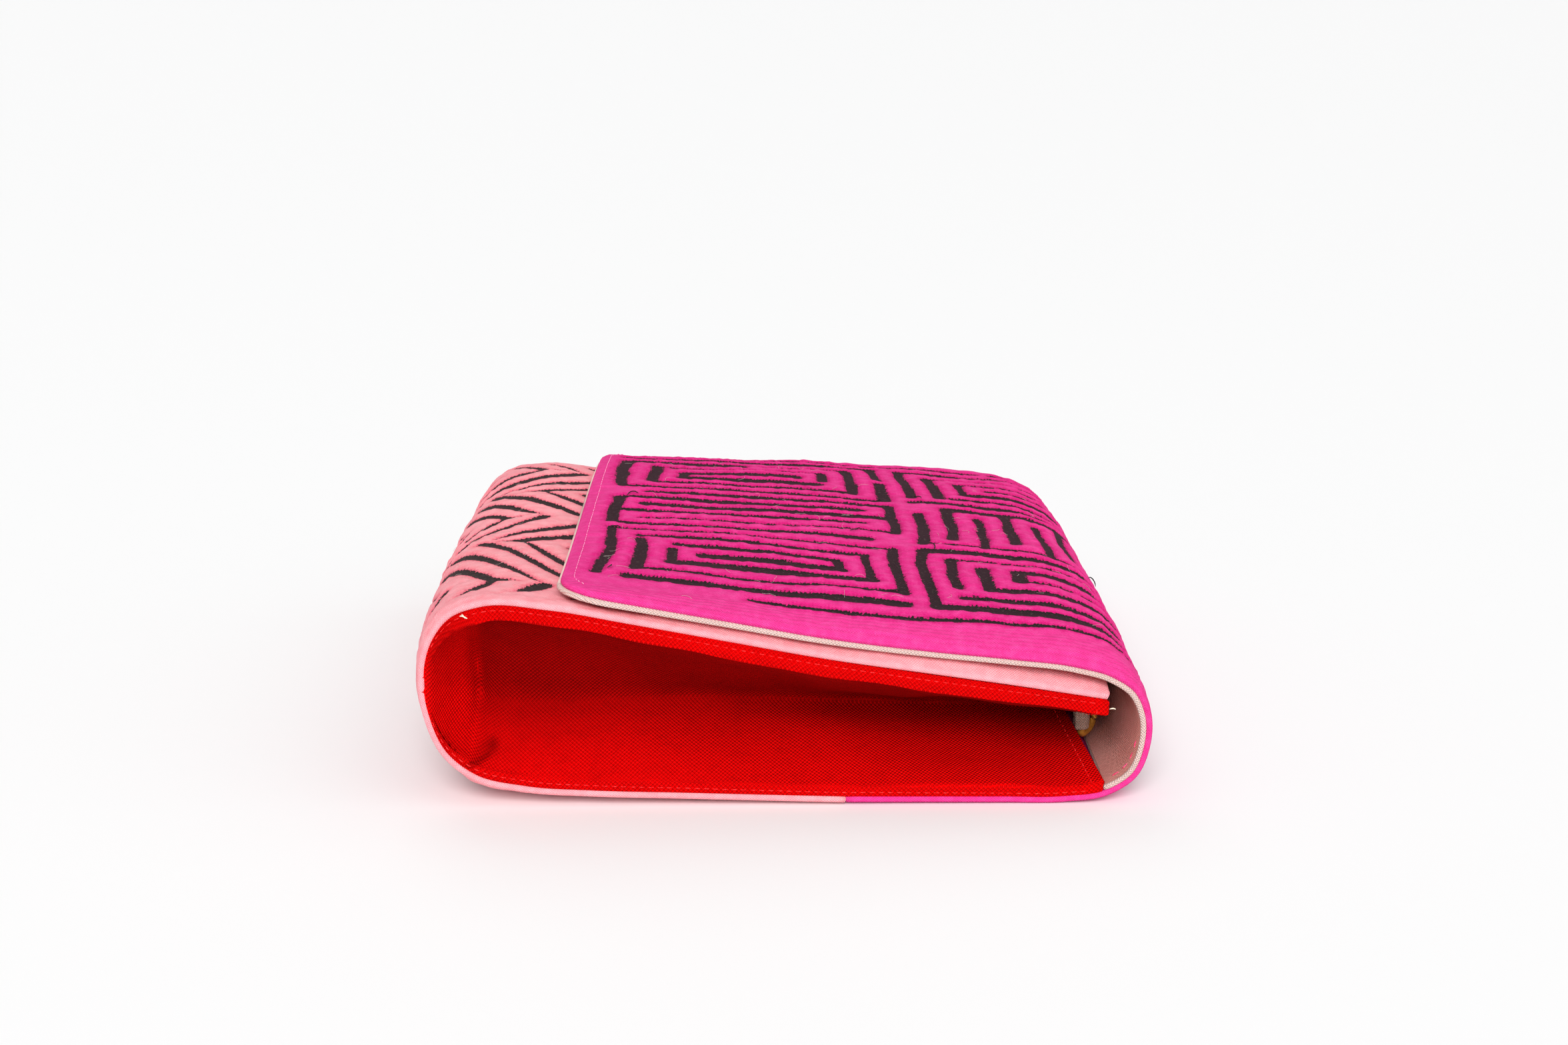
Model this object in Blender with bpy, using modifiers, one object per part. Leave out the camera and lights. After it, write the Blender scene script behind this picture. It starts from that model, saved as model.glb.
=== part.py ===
"""A small mola clutch bag, closed, lying on its back.

The front panel is one sheet from a seam under the bag, round the bottom fold
and over the top to the mouth. The back panel starts at the same seam, turns
up round the hinge and comes back over the mouth as the flap. A canvas facing
backs the flap, and a gusset tucked inwards closes each side. A brass D ring
hangs in a cloth tab at the near gusset's hem.

Tables are in millimetres. X runs from the bottom fold to the hinge, Y from
the near side to the far side, and Z is up from what the bag lies on.
"""

import math

import bmesh
import bpy
import numpy as np

MM = 0.001

BAG_WIDTH = 152.0
PANEL_THICKNESS = 1.5
FACING_THICKNESS = 1.3
GUSSET_THICKNESS = 1.2
GAP = 0.3
RIM_GAP = 0.45

FLAP_CORNER_RADIUS = 12.0
CORNER_ROWS = 5
PANEL_ROWS = 34
FLAP_ROWS = 40
PANEL_COLUMNS = 12
LINE_SAMPLES = 400
LONG_ROW = 12.0
ROW_TURN = math.radians(16.0)

FACING_START_X = 66.2
GUSSET_END_X = 65.6
GUSSET_SIDE_INSET = 0.5
GUSSET_FOLD_GAP = 3.5
GUSSET_HEM_DRAW = 0.17
GUSSET_ROWS = 24
BAND_TOP = 3.3
BAND_BOTTOM = 2.6

RING_WIRE_RADIUS = 0.85
RING_HEIGHT = 11.6
RING_REACH = 7.4
RING_TURN = math.radians(52.0)
RING_X = 64.4
RING_DEPTH = 25.0
RING_Z = 11.4
TAB_THICKNESS = 1.0
TAB_HEIGHT = 6.8
TAB_START_X = 62.7
TAB_Z = 11.2

# How far a section has gone from the side's line to the middle's line:
# (distance in from the side, share)
SIDE_TO_MIDDLE = (
    (0.0, 0.0),
    (4.0, 0.24),
    (10.0, 0.48),
    (24.0, 0.74),
    (48.0, 0.93),
    (76.0, 1.0),
)

# Outer line of the front panel, from the seam round the fold to the mouth:
# (place, near x, near z, middle x, middle z, far x, far z)
FRONT_PANEL = (
    ("seam", 12.0, 0.0, 12.0, 0.0, 12.0, 0.0),
    ("underside", -4.0, 0.4, -4.0, 0.0, -4.0, 0.2),
    ("underside", -22.0, 1.1, -22.0, 0.0, -22.0, 0.5),
    ("underside", -40.0, 1.9, -42.0, 0.0, -42.0, 0.9),
    ("fold starts", -54.0, 3.1, -57.0, 0.7, -57.0, 1.6),
    ("fold", -64.3, 5.9, -67.5, 4.2, -67.0, 5.2),
    ("fold", -70.4, 11.0, -73.6, 11.0, -73.2, 12.0),
    ("fold", -74.0, 19.5, -77.0, 19.5, -76.2, 20.0),
    ("fold", -74.9, 28.5, -77.6, 28.5, -76.8, 27.5),
    ("fold", -72.9, 36.4, -75.6, 36.5, -74.8, 33.5),
    ("fold", -68.6, 42.0, -70.4, 41.3, -70.0, 36.9),
    ("fold ends", -61.6, 44.6, -62.0, 43.2, -61.5, 38.0),
    ("front", -48.0, 43.8, -47.0, 41.8, -47.0, 36.2),
    ("front", -31.0, 40.6, -30.0, 40.7, -30.0, 35.5),
    ("front", -12.0, 36.8, -12.0, 39.6, -12.0, 34.9),
    ("front", 8.0, 32.8, 8.0, 38.0, 8.0, 34.5),
    ("front", 29.5, 29.4, 29.5, 35.9, 29.5, 33.3),
    ("front", 48.0, 26.6, 48.0, 33.2, 48.0, 31.2),
    ("mouth", 66.4, 23.7, 66.2, 28.7, 66.2, 27.3),
)

# Outer line of the back panel and flap, from the seam round the hinge to
# the flap's edge, with the same columns
BACK_FLAP = (
    ("underside", 12.3, 0.0, 12.3, 0.0, 12.3, 0.0),
    ("underside", 30.0, 0.0, 30.0, 0.0, 30.0, 0.0),
    ("underside", 45.0, 0.0, 45.0, 0.0, 45.0, 0.0),
    ("hinge starts", 57.5, 0.2, 58.0, 0.0, 57.5, 0.2),
    ("hinge", 66.6, 1.7, 66.6, 1.2, 66.4, 1.9),
    ("hinge", 72.5, 5.8, 72.2, 5.8, 71.8, 6.8),
    ("hinge", 75.0, 12.6, 74.6, 12.6, 74.0, 13.6),
    ("hinge", 74.9, 19.4, 74.8, 20.4, 74.4, 20.6),
    ("hinge", 72.3, 24.9, 72.7, 27.4, 71.9, 26.6),
    ("hinge", 67.2, 28.3, 68.5, 32.8, 68.0, 31.0),
    ("hinge ends", 59.6, 30.4, 61.6, 36.4, 61.4, 33.8),
    ("flap", 46.0, 32.2, 48.0, 38.4, 48.0, 35.8),
    ("flap", 29.5, 34.0, 29.5, 40.0, 29.5, 37.2),
    ("flap", 8.0, 37.0, 8.0, 41.9, 8.0, 38.3),
    ("flap", -12.0, 40.9, -12.0, 43.3, -12.0, 38.8),
    ("flap", -31.0, 44.6, -30.0, 44.4, -30.0, 39.4),
    ("flap's edge", -47.0, 47.7, -47.0, 45.5, -47.0, 40.0),
)

# The gusset from the bottom fold to the mouth:
# (share of the way, depth of its inward fold, height share of that fold)
GUSSET = (
    (0.00, 0.3, 0.50),
    (0.05, 0.8, 0.52),
    (0.09, 2.2, 0.55),
    (0.13, 6.5, 0.56),
    (0.20, 10.5, 0.55),
    (0.35, 14.5, 0.52),
    (0.55, 19.5, 0.50),
    (0.80, 25.0, 0.48),
    (1.00, 28.5, 0.47),
)

# The gusset across, from the front panel to the back:
# (part of the way from band to fold to band, share of the fold's depth)
GUSSET_ACROSS = (
    ("upper band", 0.0, 0.0),
    ("upper half", 0.04, 0.05),
    ("upper half", 0.20, 0.41),
    ("upper half", 0.36, 0.78),
    ("inward fold", 0.45, 0.955),
    ("inward fold", 0.50, 1.0),
    ("inward fold", 0.55, 0.955),
    ("lower half", 0.64, 0.76),
    ("lower half", 0.78, 0.46),
    ("lower half", 0.92, 0.16),
    ("lower band", 1.0, 0.0),
)

COLOURS = {
    "front_panel": ((0.90, 0.25, 0.31), 0.85, 0.0),
    "back_flap": ((0.72, 0.03, 0.38), 0.8, 0.0),
    "flap_facing": ((0.93, 0.58, 0.55), 0.85, 0.0),
    "gusset": ((0.80, 0.005, 0.004), 0.75, 0.0),
    "ring_tab": ((0.80, 0.62, 0.52), 0.85, 0.0),
    "d_ring": ((0.83, 0.50, 0.13), 0.28, 1.0),
}


def smooth(knots, values, at):
    """Values at the given places, on a smooth curve through the knots."""
    knots = np.asarray(knots, float)
    values = np.asarray(values, float)
    at = np.asarray(at, float)
    slopes = np.gradient(values, knots, axis=0)
    first = np.clip(np.searchsorted(knots, at, side="right") - 1, 0, len(knots) - 2)
    span = knots[first + 1] - knots[first]
    share = (at - knots[first]) / span
    if values.ndim > 1:
        span, share = span[:, None], share[:, None]
    rest = 1.0 - share
    return (
        (1.0 + 2.0 * share) * rest * rest * values[first]
        + share * rest * rest * span * slopes[first]
        + share * share * (3.0 - 2.0 * share) * values[first + 1]
        - share * share * rest * span * slopes[first + 1]
    )


def line_lengths(line):
    """Distance along a line of points, from its start to each point."""
    steps = np.linalg.norm(np.diff(line, axis=0), axis=1)
    return np.concatenate(([0.0], np.cumsum(steps)))


def even_line(points, shares):
    """Points at the given shares of the length of a smooth line."""
    points = np.asarray(points, float)
    knots = line_lengths(points)
    dense = smooth(knots, points, np.linspace(0.0, knots[-1], LINE_SAMPLES))
    lengths = line_lengths(dense)
    at = np.asarray(shares, float) * lengths[-1]
    return np.stack([np.interp(at, lengths, dense[:, axis]) for axis in range(2)], axis=1)


def bend_shares(table, count):
    """Shares of a panel's length for its rows, closer together where it bends."""
    shares = np.linspace(0.0, 1.0, LINE_SAMPLES)
    line = even_line([row[3:5] for row in table], shares)
    steps = np.diff(line, axis=0)
    turns = np.abs(np.diff(np.unwrap(np.arctan2(steps[:, 1], steps[:, 0]))))
    weight = np.linalg.norm(steps, axis=1) / LONG_ROW
    weight[1:] += turns / ROW_TURN
    total = np.concatenate(([0.0], np.cumsum(weight)))
    return np.interp(np.linspace(0.0, total[-1], count + 1), total, shares)


def middle_share(depths):
    """Share of the middle's line at each depth from the near side."""
    inward = np.minimum(depths, BAG_WIDTH - depths)
    knots, shares = zip(*SIDE_TO_MIDDLE)
    return smooth(knots, shares, inward)


def panel_points(table, shares, depths):
    """Points of a panel's outer face, one for each share and depth."""
    near, middle, far = (
        even_line([row[column : column + 2] for row in table], shares) for column in (1, 3, 5)
    )
    blend = middle_share(depths)[:, None]
    side = np.where((depths < BAG_WIDTH / 2)[:, None], near, far)
    section = side + (middle - side) * blend
    flat = np.maximum(section[:, 1], 0.0)
    return np.stack([section[:, 0], depths - BAG_WIDTH / 2, flat], axis=1)


def panel_grid(table, shares, columns, edge_curve=None):
    """Rows of points from the panel's start to its end, near side to far."""
    grid = []
    for share in shares:
        inset = edge_curve(share) if edge_curve else 0.0
        depths = np.linspace(inset, BAG_WIDTH - inset, columns + 1)
        grid.append(panel_points(table, np.full(columns + 1, share), depths))
    return np.array(grid)


def grid_normals(grid):
    """Unit normals at the grid's points, on the side of rows x columns."""
    along = np.gradient(grid, axis=0)
    across = np.gradient(grid, axis=1)
    normals = np.cross(along, across)
    return normals / np.linalg.norm(normals, axis=2, keepdims=True)


def material(name):
    """The plain material of a piece."""
    colour, roughness, metallic = COLOURS[name]
    made = bpy.data.materials.new(name)
    made.use_nodes = True
    shader = made.node_tree.nodes["Principled BSDF"]
    shader.inputs["Base Color"].default_value = (*colour, 1.0)
    shader.inputs["Roughness"].default_value = roughness
    shader.inputs["Metallic"].default_value = metallic
    return made


def add_object(name, data, finish, collection):
    """A named object with its material, in the bag's collection."""
    made = bpy.data.objects.new(name, data)
    data.materials.append(finish)
    collection.objects.link(made)
    return made


def centre_shift():
    """Shift that puts the bag's middle over the origin."""
    places = [row[column] for row in FRONT_PANEL + BACK_FLAP for column in (1, 3, 5)]
    return -(min(places) + max(places)) / 2


def to_world(points):
    """Table millimetres to metres, centred over the origin."""
    return (np.asarray(points, float) + (centre_shift(), 0.0, 0.0)) * MM


def sheet(name, grid, thickness, finish, collection):
    """A cloth sheet: the outer face as a grid, thickened inwards."""
    rows, columns = grid.shape[:2]
    shaped = bmesh.new()
    corners = [[shaped.verts.new(point) for point in row] for row in to_world(grid)]
    for row in range(rows - 1):
        for column in range(columns - 1):
            shaped.faces.new((
                corners[row][column],
                corners[row + 1][column],
                corners[row + 1][column + 1],
                corners[row][column + 1],
            ))
    mesh = bpy.data.meshes.new(name)
    shaped.to_mesh(mesh)
    shaped.free()
    mesh.shade_smooth()
    made = add_object(name, mesh, finish, collection)
    solidify = made.modifiers.new("thickness", "SOLIDIFY")
    solidify.thickness = thickness * MM
    solidify.offset = -1.0
    solidify.use_even_offset = True
    return made


def flap_shares():
    """Shares of the flap's length, closer together round its corners."""
    start = 1.0 - FLAP_CORNER_RADIUS / flap_length()
    straight = bend_shares(BACK_FLAP, FLAP_ROWS - CORNER_ROWS) * start
    turns = np.linspace(0.0, math.pi / 2, CORNER_ROWS + 1)[1:]
    return np.concatenate((straight, start + (1.0 - start) * np.sin(turns)))


def flap_length():
    """Length of the back panel and flap along the bag's middle."""
    middle = [row[3:5] for row in BACK_FLAP]
    return line_lengths(even_line(middle, np.linspace(0.0, 1.0, LINE_SAMPLES)))[-1]


def flap_inset(share):
    """How far the flap's side is drawn in by its round corner."""
    from_corner = FLAP_CORNER_RADIUS - (1.0 - share) * flap_length()
    if from_corner <= 0.0:
        return 0.0
    return FLAP_CORNER_RADIUS - math.sqrt(max(0.0, FLAP_CORNER_RADIUS**2 - from_corner**2))


def inner_line(table, depth, turn):
    """Inside line of a panel at one depth; turn is 1 clockwise, else -1."""
    shares = np.linspace(0.0, 1.0, LINE_SAMPLES)
    outer = panel_points(table, shares, np.full(LINE_SAMPLES, depth))[:, [0, 2]]
    steps = np.gradient(outer, axis=0)
    inward = np.stack([steps[:, 1], -steps[:, 0]], axis=1) * turn
    inward /= np.linalg.norm(inward, axis=1, keepdims=True)
    return outer + inward * (PANEL_THICKNESS + RIM_GAP)


def points_along(line, distances):
    """Points at the given distances along a line of points."""
    lengths = line_lengths(line)
    return np.stack([np.interp(distances, lengths, line[:, axis]) for axis in range(2)], axis=1)


def gusset_arms(side):
    """Upper and lower rim lines of a gusset, from the fold to the mouth."""
    depth = 0.0 if side < 0 else BAG_WIDTH
    front = inner_line(FRONT_PANEL, depth, 1)
    fold = int(np.argmin(front[:, 0]))
    back = inner_line(BACK_FLAP, depth, -1)
    back = back[: int(np.argmax(back[:, 0] > GUSSET_END_X))]
    return front[fold:], np.concatenate((front[fold::-1], back))


def gusset_grid(side):
    """Rows from the bottom fold to the mouth, columns from top to bottom."""
    upper, lower = gusset_arms(side)
    shares = np.linspace(0.0, 1.0, GUSSET_ROWS + 1)
    knots, depths, heights = zip(*GUSSET)
    fold_depths = smooth(knots, depths, shares)
    fold_heights = smooth(knots, heights, shares)
    ends = []
    for arm in (upper, lower):
        room = line_lengths(arm)[-1] - GUSSET_FOLD_GAP
        ends.append(points_along(arm, GUSSET_FOLD_GAP + shares * room))
    grid = []
    for top, bottom, depth, height in zip(*ends, fold_depths, fold_heights):
        grid.append(gusset_section(top, bottom, depth, height, side))
    grid = np.array(grid)
    inward = BAG_WIDTH / 2 - np.abs(grid[:, :, 1])
    grid[:, :, 0] -= GUSSET_HEM_DRAW * inward * shares[:, None] ** 2
    return grid


def gusset_section(top, bottom, depth, height, side):
    """One section of a gusset: band, inward fold and band."""
    tall = np.linalg.norm(bottom - top)
    upper_band = BAND_TOP / tall if tall > 3 * BAND_TOP else 0.3
    lower_band = BAND_BOTTOM / tall if tall > 3 * BAND_TOP else 0.3
    fold = 1.0 - height
    places = [0.0]
    inward = [0.0]
    for _, way, share in GUSSET_ACROSS:
        if way <= 0.5:
            places.append(upper_band + (fold - upper_band) * way * 2.0)
        else:
            places.append(fold + (1.0 - lower_band - fold) * (way - 0.5) * 2.0)
        inward.append(share * depth)
    places.append(1.0)
    inward.append(0.0)
    section = top + np.outer(places, bottom - top)
    y = side * (BAG_WIDTH / 2 - GUSSET_SIDE_INSET - np.array(inward))
    return np.stack([section[:, 0], y, section[:, 1]], axis=1)


def make_front_panel(collection):
    grid = panel_grid(FRONT_PANEL, bend_shares(FRONT_PANEL, PANEL_ROWS), PANEL_COLUMNS)
    sheet("front_panel", grid, PANEL_THICKNESS, material("front_panel"), collection)


def make_flap_and_facing(collection):
    grid = panel_grid(BACK_FLAP, flap_shares(), PANEL_COLUMNS, flap_inset)
    inward = grid_normals(grid)
    sheet("back_flap", grid[:, ::-1], PANEL_THICKNESS, material("back_flap"), collection)
    start = int(np.argmax(grid[:, 0, 0] > FACING_START_X))
    facing = (grid + inward * (PANEL_THICKNESS + GAP))[start:]
    sheet("flap_facing", facing[:, ::-1], FACING_THICKNESS, material("flap_facing"), collection)


def make_gussets(collection):
    finish = material("gusset")
    sheet("gusset_near", gusset_grid(-1)[:, ::-1], GUSSET_THICKNESS, finish, collection)
    sheet("gusset_far", gusset_grid(1), GUSSET_THICKNESS, finish, collection)


def ring_points():
    """The D ring's centre line in its own plane, bar first."""
    half = RING_HEIGHT / 2 - RING_WIRE_RADIUS
    reach = RING_REACH - 2 * RING_WIRE_RADIUS
    bow = np.linspace(-math.pi / 2, math.pi / 2, 15)
    points = [(0.0, half * 0.5), (0.0, 0.0), (0.0, -half * 0.5)]
    points += [(reach * math.cos(angle) ** 0.6, half * math.sin(angle)) for angle in bow]
    return points


def make_ring(collection):
    curve = bpy.data.curves.new("d_ring", "CURVE")
    curve.dimensions = "3D"
    curve.bevel_depth = RING_WIRE_RADIUS * MM
    curve.bevel_resolution = 2
    spline = curve.splines.new("POLY")
    places = ring_points()
    spline.points.add(len(places) - 1)
    bar_y = RING_DEPTH - BAG_WIDTH / 2
    for point, (out, up) in zip(spline.points, places):
        x = RING_X + out * math.cos(RING_TURN)
        y = bar_y + out * math.sin(RING_TURN)
        point.co = (*to_world((x, y, RING_Z + up)), 1.0)
    spline.use_cyclic_u = True
    add_object("d_ring", curve, material("d_ring"), collection)


def make_tab(collection):
    """A strip folded round the ring's bar, its ends at the gusset's hem."""
    bar_y = RING_DEPTH - BAG_WIDTH / 2
    radius = RING_WIRE_RADIUS + GAP + TAB_THICKNESS
    half_turn = np.linspace(math.pi / 2, -math.pi / 2, 9)
    line = [(TAB_START_X, bar_y + radius)]
    line += [(RING_X + radius * math.cos(turn), bar_y + radius * math.sin(turn)) for turn in half_turn]
    line.append((TAB_START_X, bar_y - radius))
    grid = [[(x, y, TAB_Z + TAB_HEIGHT * share) for share in (-0.5, 0.5)] for x, y in line]
    sheet("ring_tab", np.array(grid)[:, ::-1], TAB_THICKNESS, material("ring_tab"), collection)


def main():
    for leftover in list(bpy.data.objects):
        bpy.data.objects.remove(leftover, do_unlink=True)
    bag = bpy.data.collections.new("mola_clutch_bag")
    bpy.context.scene.collection.children.link(bag)
    make_front_panel(bag)
    make_flap_and_facing(bag)
    make_gussets(bag)
    make_ring(bag)
    make_tab(bag)


main()
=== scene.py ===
"""The looks of a mola clutch bag lying on its back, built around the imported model.

Tables are in millimetres, as the solids have them. X runs from the bottom fold
to the hinge, Y from the near side to the far side, and Z is up. Each cloth piece
is a closed sheet with rounded edges. On the two mola panels a chart of cut lines
gives every point its distance from the nearest cut, and that distance shapes the
relief and parts the coloured cloth from the black one beneath it.
"""

import math

import bpy
import numpy as np
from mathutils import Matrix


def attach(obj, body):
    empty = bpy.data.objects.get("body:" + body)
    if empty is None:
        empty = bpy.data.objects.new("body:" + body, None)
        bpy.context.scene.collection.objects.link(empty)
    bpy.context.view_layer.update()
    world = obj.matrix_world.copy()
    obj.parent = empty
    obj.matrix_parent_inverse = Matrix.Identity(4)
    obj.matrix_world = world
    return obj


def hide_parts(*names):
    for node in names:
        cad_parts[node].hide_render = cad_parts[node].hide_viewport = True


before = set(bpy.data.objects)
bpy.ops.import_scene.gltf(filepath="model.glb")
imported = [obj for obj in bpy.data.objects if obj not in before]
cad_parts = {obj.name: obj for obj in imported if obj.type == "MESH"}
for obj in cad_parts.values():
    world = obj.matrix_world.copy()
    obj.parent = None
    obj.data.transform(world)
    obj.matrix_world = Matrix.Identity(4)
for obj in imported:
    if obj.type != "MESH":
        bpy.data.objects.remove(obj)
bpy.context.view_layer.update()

MM = 0.001
FULL_TURN = 2.0 * math.pi

BAG_WIDTH = 152.0
PANEL_THICKNESS = 1.5
FACING_THICKNESS = 1.3
GUSSET_THICKNESS = 1.2
RIM_GAP = -0.3
LINE_SAMPLES = 4000
NORMAL_STEP = 0.5

FLAP_CORNER_RADIUS = 12.0
FACING_START_X = 66.2
GUSSET_END_X = 65.6
GUSSET_SIDE_INSET = 0.3
GUSSET_FOLD_GAP = 3.5
GUSSET_HEM_DRAW = 0.17
BAND_TOP = 3.3
BAND_BOTTOM = 2.6

RING_WIRE_RADIUS = 0.85
RING_HEIGHT = 11.6
RING_REACH = 7.4
RING_TURN = math.radians(52.0)
RING_X = 64.4
RING_DEPTH = 25.0
RING_Z = 11.4
RING_BOW = 0.6
RING_BAR_SHARE = 0.9
RING_STEPS = 64
TAB_THICKNESS = 0.8
TAB_SLACK = 0.05
TAB_HEIGHT = 6.8
TAB_START_X = 62.7
TAB_END_GAP = 0.5
TAB_TURN_GAP = 0.2
TAB_Z = 11.2

# (distance in from the side, share of the way to the middle's line)
SIDE_TO_MIDDLE = (
    (0.0, 0.0), (4.0, 0.24), (10.0, 0.48), (24.0, 0.74), (48.0, 0.93), (76.0, 1.0),
)

# (near x, near z, middle x, middle z, far x, far z), from the seam to the mouth
FRONT_PANEL = (
    (12.0, 0.5, 12.0, 0.0, 12.0, 0.0),
    (-4.0, 1.0, -4.0, 0.0, -4.0, 0.2),
    (-22.0, 1.6, -22.0, 0.0, -22.0, 0.5),
    (-40.0, 2.2, -42.0, 0.0, -42.0, 0.9),
    (-54.0, 3.3, -57.0, 0.7, -57.0, 1.6),
    (-64.3, 5.9, -67.5, 4.2, -67.0, 5.2),
    (-70.4, 11.0, -73.6, 11.0, -73.2, 12.0),
    (-74.0, 19.5, -77.0, 19.5, -76.2, 20.0),
    (-74.9, 28.5, -77.6, 28.5, -76.8, 27.5),
    (-72.9, 36.4, -75.6, 36.5, -74.8, 33.5),
    (-68.6, 42.0, -70.4, 41.3, -70.0, 36.9),
    (-61.6, 44.6, -62.0, 43.2, -61.5, 38.0),
    (-48.0, 43.8, -47.0, 41.8, -47.0, 36.2),
    (-31.0, 40.6, -30.0, 40.7, -30.0, 35.5),
    (-12.0, 36.8, -12.0, 39.6, -12.0, 34.9),
    (8.0, 32.8, 8.0, 38.0, 8.0, 34.5),
    (29.5, 29.4, 29.5, 35.9, 29.5, 33.3),
    (48.0, 26.6, 48.0, 33.2, 48.0, 31.2),
    (66.4, 23.7, 66.2, 28.7, 66.2, 27.3),
)

# The same columns, from the seam to the flap's edge
BACK_FLAP = (
    (12.3, 0.5, 12.3, 0.0, 12.3, 0.0),
    (30.0, 0.4, 30.0, 0.0, 30.0, 0.0),
    (45.0, 0.3, 45.0, 0.0, 45.0, 0.0),
    (57.5, 0.3, 58.0, 0.0, 57.5, 0.2),
    (66.6, 1.7, 66.6, 1.2, 66.4, 1.9),
    (72.5, 5.8, 72.2, 5.8, 71.8, 6.8),
    (75.0, 12.6, 74.6, 12.6, 74.0, 13.6),
    (74.9, 19.4, 74.8, 20.4, 74.4, 20.6),
    (72.3, 24.9, 72.7, 27.4, 71.9, 26.6),
    (67.2, 28.3, 68.5, 32.8, 68.0, 31.0),
    (59.6, 30.4, 61.6, 36.4, 61.4, 33.8),
    (46.0, 32.2, 48.0, 38.4, 48.0, 35.8),
    (29.5, 34.0, 29.5, 40.0, 29.5, 37.2),
    (8.0, 37.0, 8.0, 41.9, 8.0, 38.3),
    (-12.0, 40.9, -12.0, 43.3, -12.0, 38.8),
    (-31.0, 44.6, -30.0, 44.4, -30.0, 39.4),
    (-47.0, 47.7, -47.0, 45.5, -47.0, 40.0),
)

# (share of the way from the fold to the mouth, depth of the inward fold, height share)
GUSSET = (
    (0.00, 0.3, 0.50), (0.018, 0.4, 0.50), (0.03, 0.9, 0.48), (0.06, 4.8, 0.44), (0.085, 9.6, 0.40),
    (0.106, 13.0, 0.38), (0.115, 14.2, 0.37), (0.128, 13.4, 0.37), (0.16, 11.6, 0.38), (0.22, 12.2, 0.40),
    (0.35, 15.5, 0.44), (0.55, 20.0, 0.47), (0.80, 25.5, 0.47), (1.00, 28.5, 0.47),
)

# (part of the way from band to fold to band, share of the fold's depth)
GUSSET_ACROSS = (
    (0.0, 0.0), (0.04, 0.05), (0.20, 0.41), (0.36, 0.78), (0.45, 0.955), (0.50, 1.0),
    (0.55, 0.955), (0.64, 0.76), (0.78, 0.46), (0.92, 0.16), (1.0, 0.0),
)


# Curves and surfaces

def smooth(knots, values, at):
    """Values at the given places, on a smooth curve through the knots."""
    knots = np.asarray(knots, float)
    values = np.asarray(values, float)
    at = np.asarray(at, float)
    slopes = np.gradient(values, knots, axis=0)
    first = np.clip(np.searchsorted(knots, at, side="right") - 1, 0, len(knots) - 2)
    span = knots[first + 1] - knots[first]
    share = (at - knots[first]) / span
    if values.ndim > 1:
        span, share = span[:, None], share[:, None]
    rest = 1.0 - share
    return (
        (1.0 + 2.0 * share) * rest * rest * values[first]
        + share * rest * rest * span * slopes[first]
        + share * share * (3.0 - 2.0 * share) * values[first + 1]
        - share * share * rest * span * slopes[first + 1]
    )


def line_lengths(line):
    """Distance along a line of points, from its start to each point."""
    steps = np.linalg.norm(np.diff(line, axis=0), axis=1)
    return np.concatenate(([0.0], np.cumsum(steps)))


def along_line(line, lengths, at):
    """Points at the given distances along a line of points."""
    return np.stack([np.interp(at, lengths, part) for part in line.T], axis=1)


def even_line(points, shares):
    """Points at the given shares of the length of a smooth line."""
    points = np.asarray(points, float)
    knots = line_lengths(points)
    dense = smooth(knots, points, np.linspace(0.0, knots[-1], LINE_SAMPLES))
    lengths = line_lengths(dense)
    return along_line(dense, lengths, np.asarray(shares, float) * lengths[-1])


def middle_share(depths):
    """Share of the middle's line at each depth from the near side."""
    inward = np.minimum(depths, BAG_WIDTH - depths)
    knots, shares = zip(*SIDE_TO_MIDDLE)
    return smooth(knots, shares, inward)


def panel_grid(table, shares, depths):
    """Points of a panel's outer face; depths has a row for each share."""
    near, middle, far = (
        even_line([row[column : column + 2] for row in table], shares)[:, None]
        for column in (0, 2, 4)
    )
    blend = middle_share(depths.ravel()).reshape(depths.shape)[..., None]
    side = np.where((depths < BAG_WIDTH / 2)[..., None], near, far)
    section = side + (middle - side) * blend
    flat = np.maximum(section[..., 1], 0.0)
    return np.stack([section[..., 0], depths - BAG_WIDTH / 2, flat], axis=2)


def panel_normals(table, shares, depths):
    """Directions square to a panel's outer face, from small steps along and across it."""
    share_step = NORMAL_STEP / table_length(table)
    after = panel_grid(table, np.minimum(shares + share_step, 1.0), depths)
    before = panel_grid(table, np.maximum(shares - share_step, 0.0), depths)
    far = panel_grid(table, shares, np.minimum(depths + NORMAL_STEP, BAG_WIDTH))
    near = panel_grid(table, shares, np.maximum(depths - NORMAL_STEP, 0.0))
    return unit(np.cross(after - before, far - near))


def table_length(table):
    """Length of a panel along the bag's middle."""
    middle = [row[2:4] for row in table]
    return line_lengths(even_line(middle, np.linspace(0.0, 1.0, LINE_SAMPLES)))[-1]


FRONT_LENGTH = table_length(FRONT_PANEL)
FLAP_LENGTH = table_length(BACK_FLAP)


def centre_shift():
    """Shift that puts the bag's middle over the origin."""
    places = [row[column] for row in FRONT_PANEL + BACK_FLAP for column in (0, 2, 4)]
    return -(min(places) + max(places)) / 2


def to_world(points):
    """Table millimetres to metres, centred over the origin."""
    return (np.asarray(points, float) + (centre_shift(), 0.0, 0.0)) * MM


def ripple(first, second, size, seed, waves=6):
    """Soft unevenness about one high, with bumps of about the given size."""
    draw = np.random.default_rng(seed)
    total = np.zeros(np.shape(first))
    for _ in range(waves):
        angle = draw.uniform(0.0, FULL_TURN)
        length = size * draw.uniform(0.7, 1.6)
        phase = draw.uniform(0.0, FULL_TURN)
        along = first * math.cos(angle) + second * math.sin(angle)
        total = total + np.cos(FULL_TURN * along / length + phase)
    return total / math.sqrt(waves / 2.0)


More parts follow.
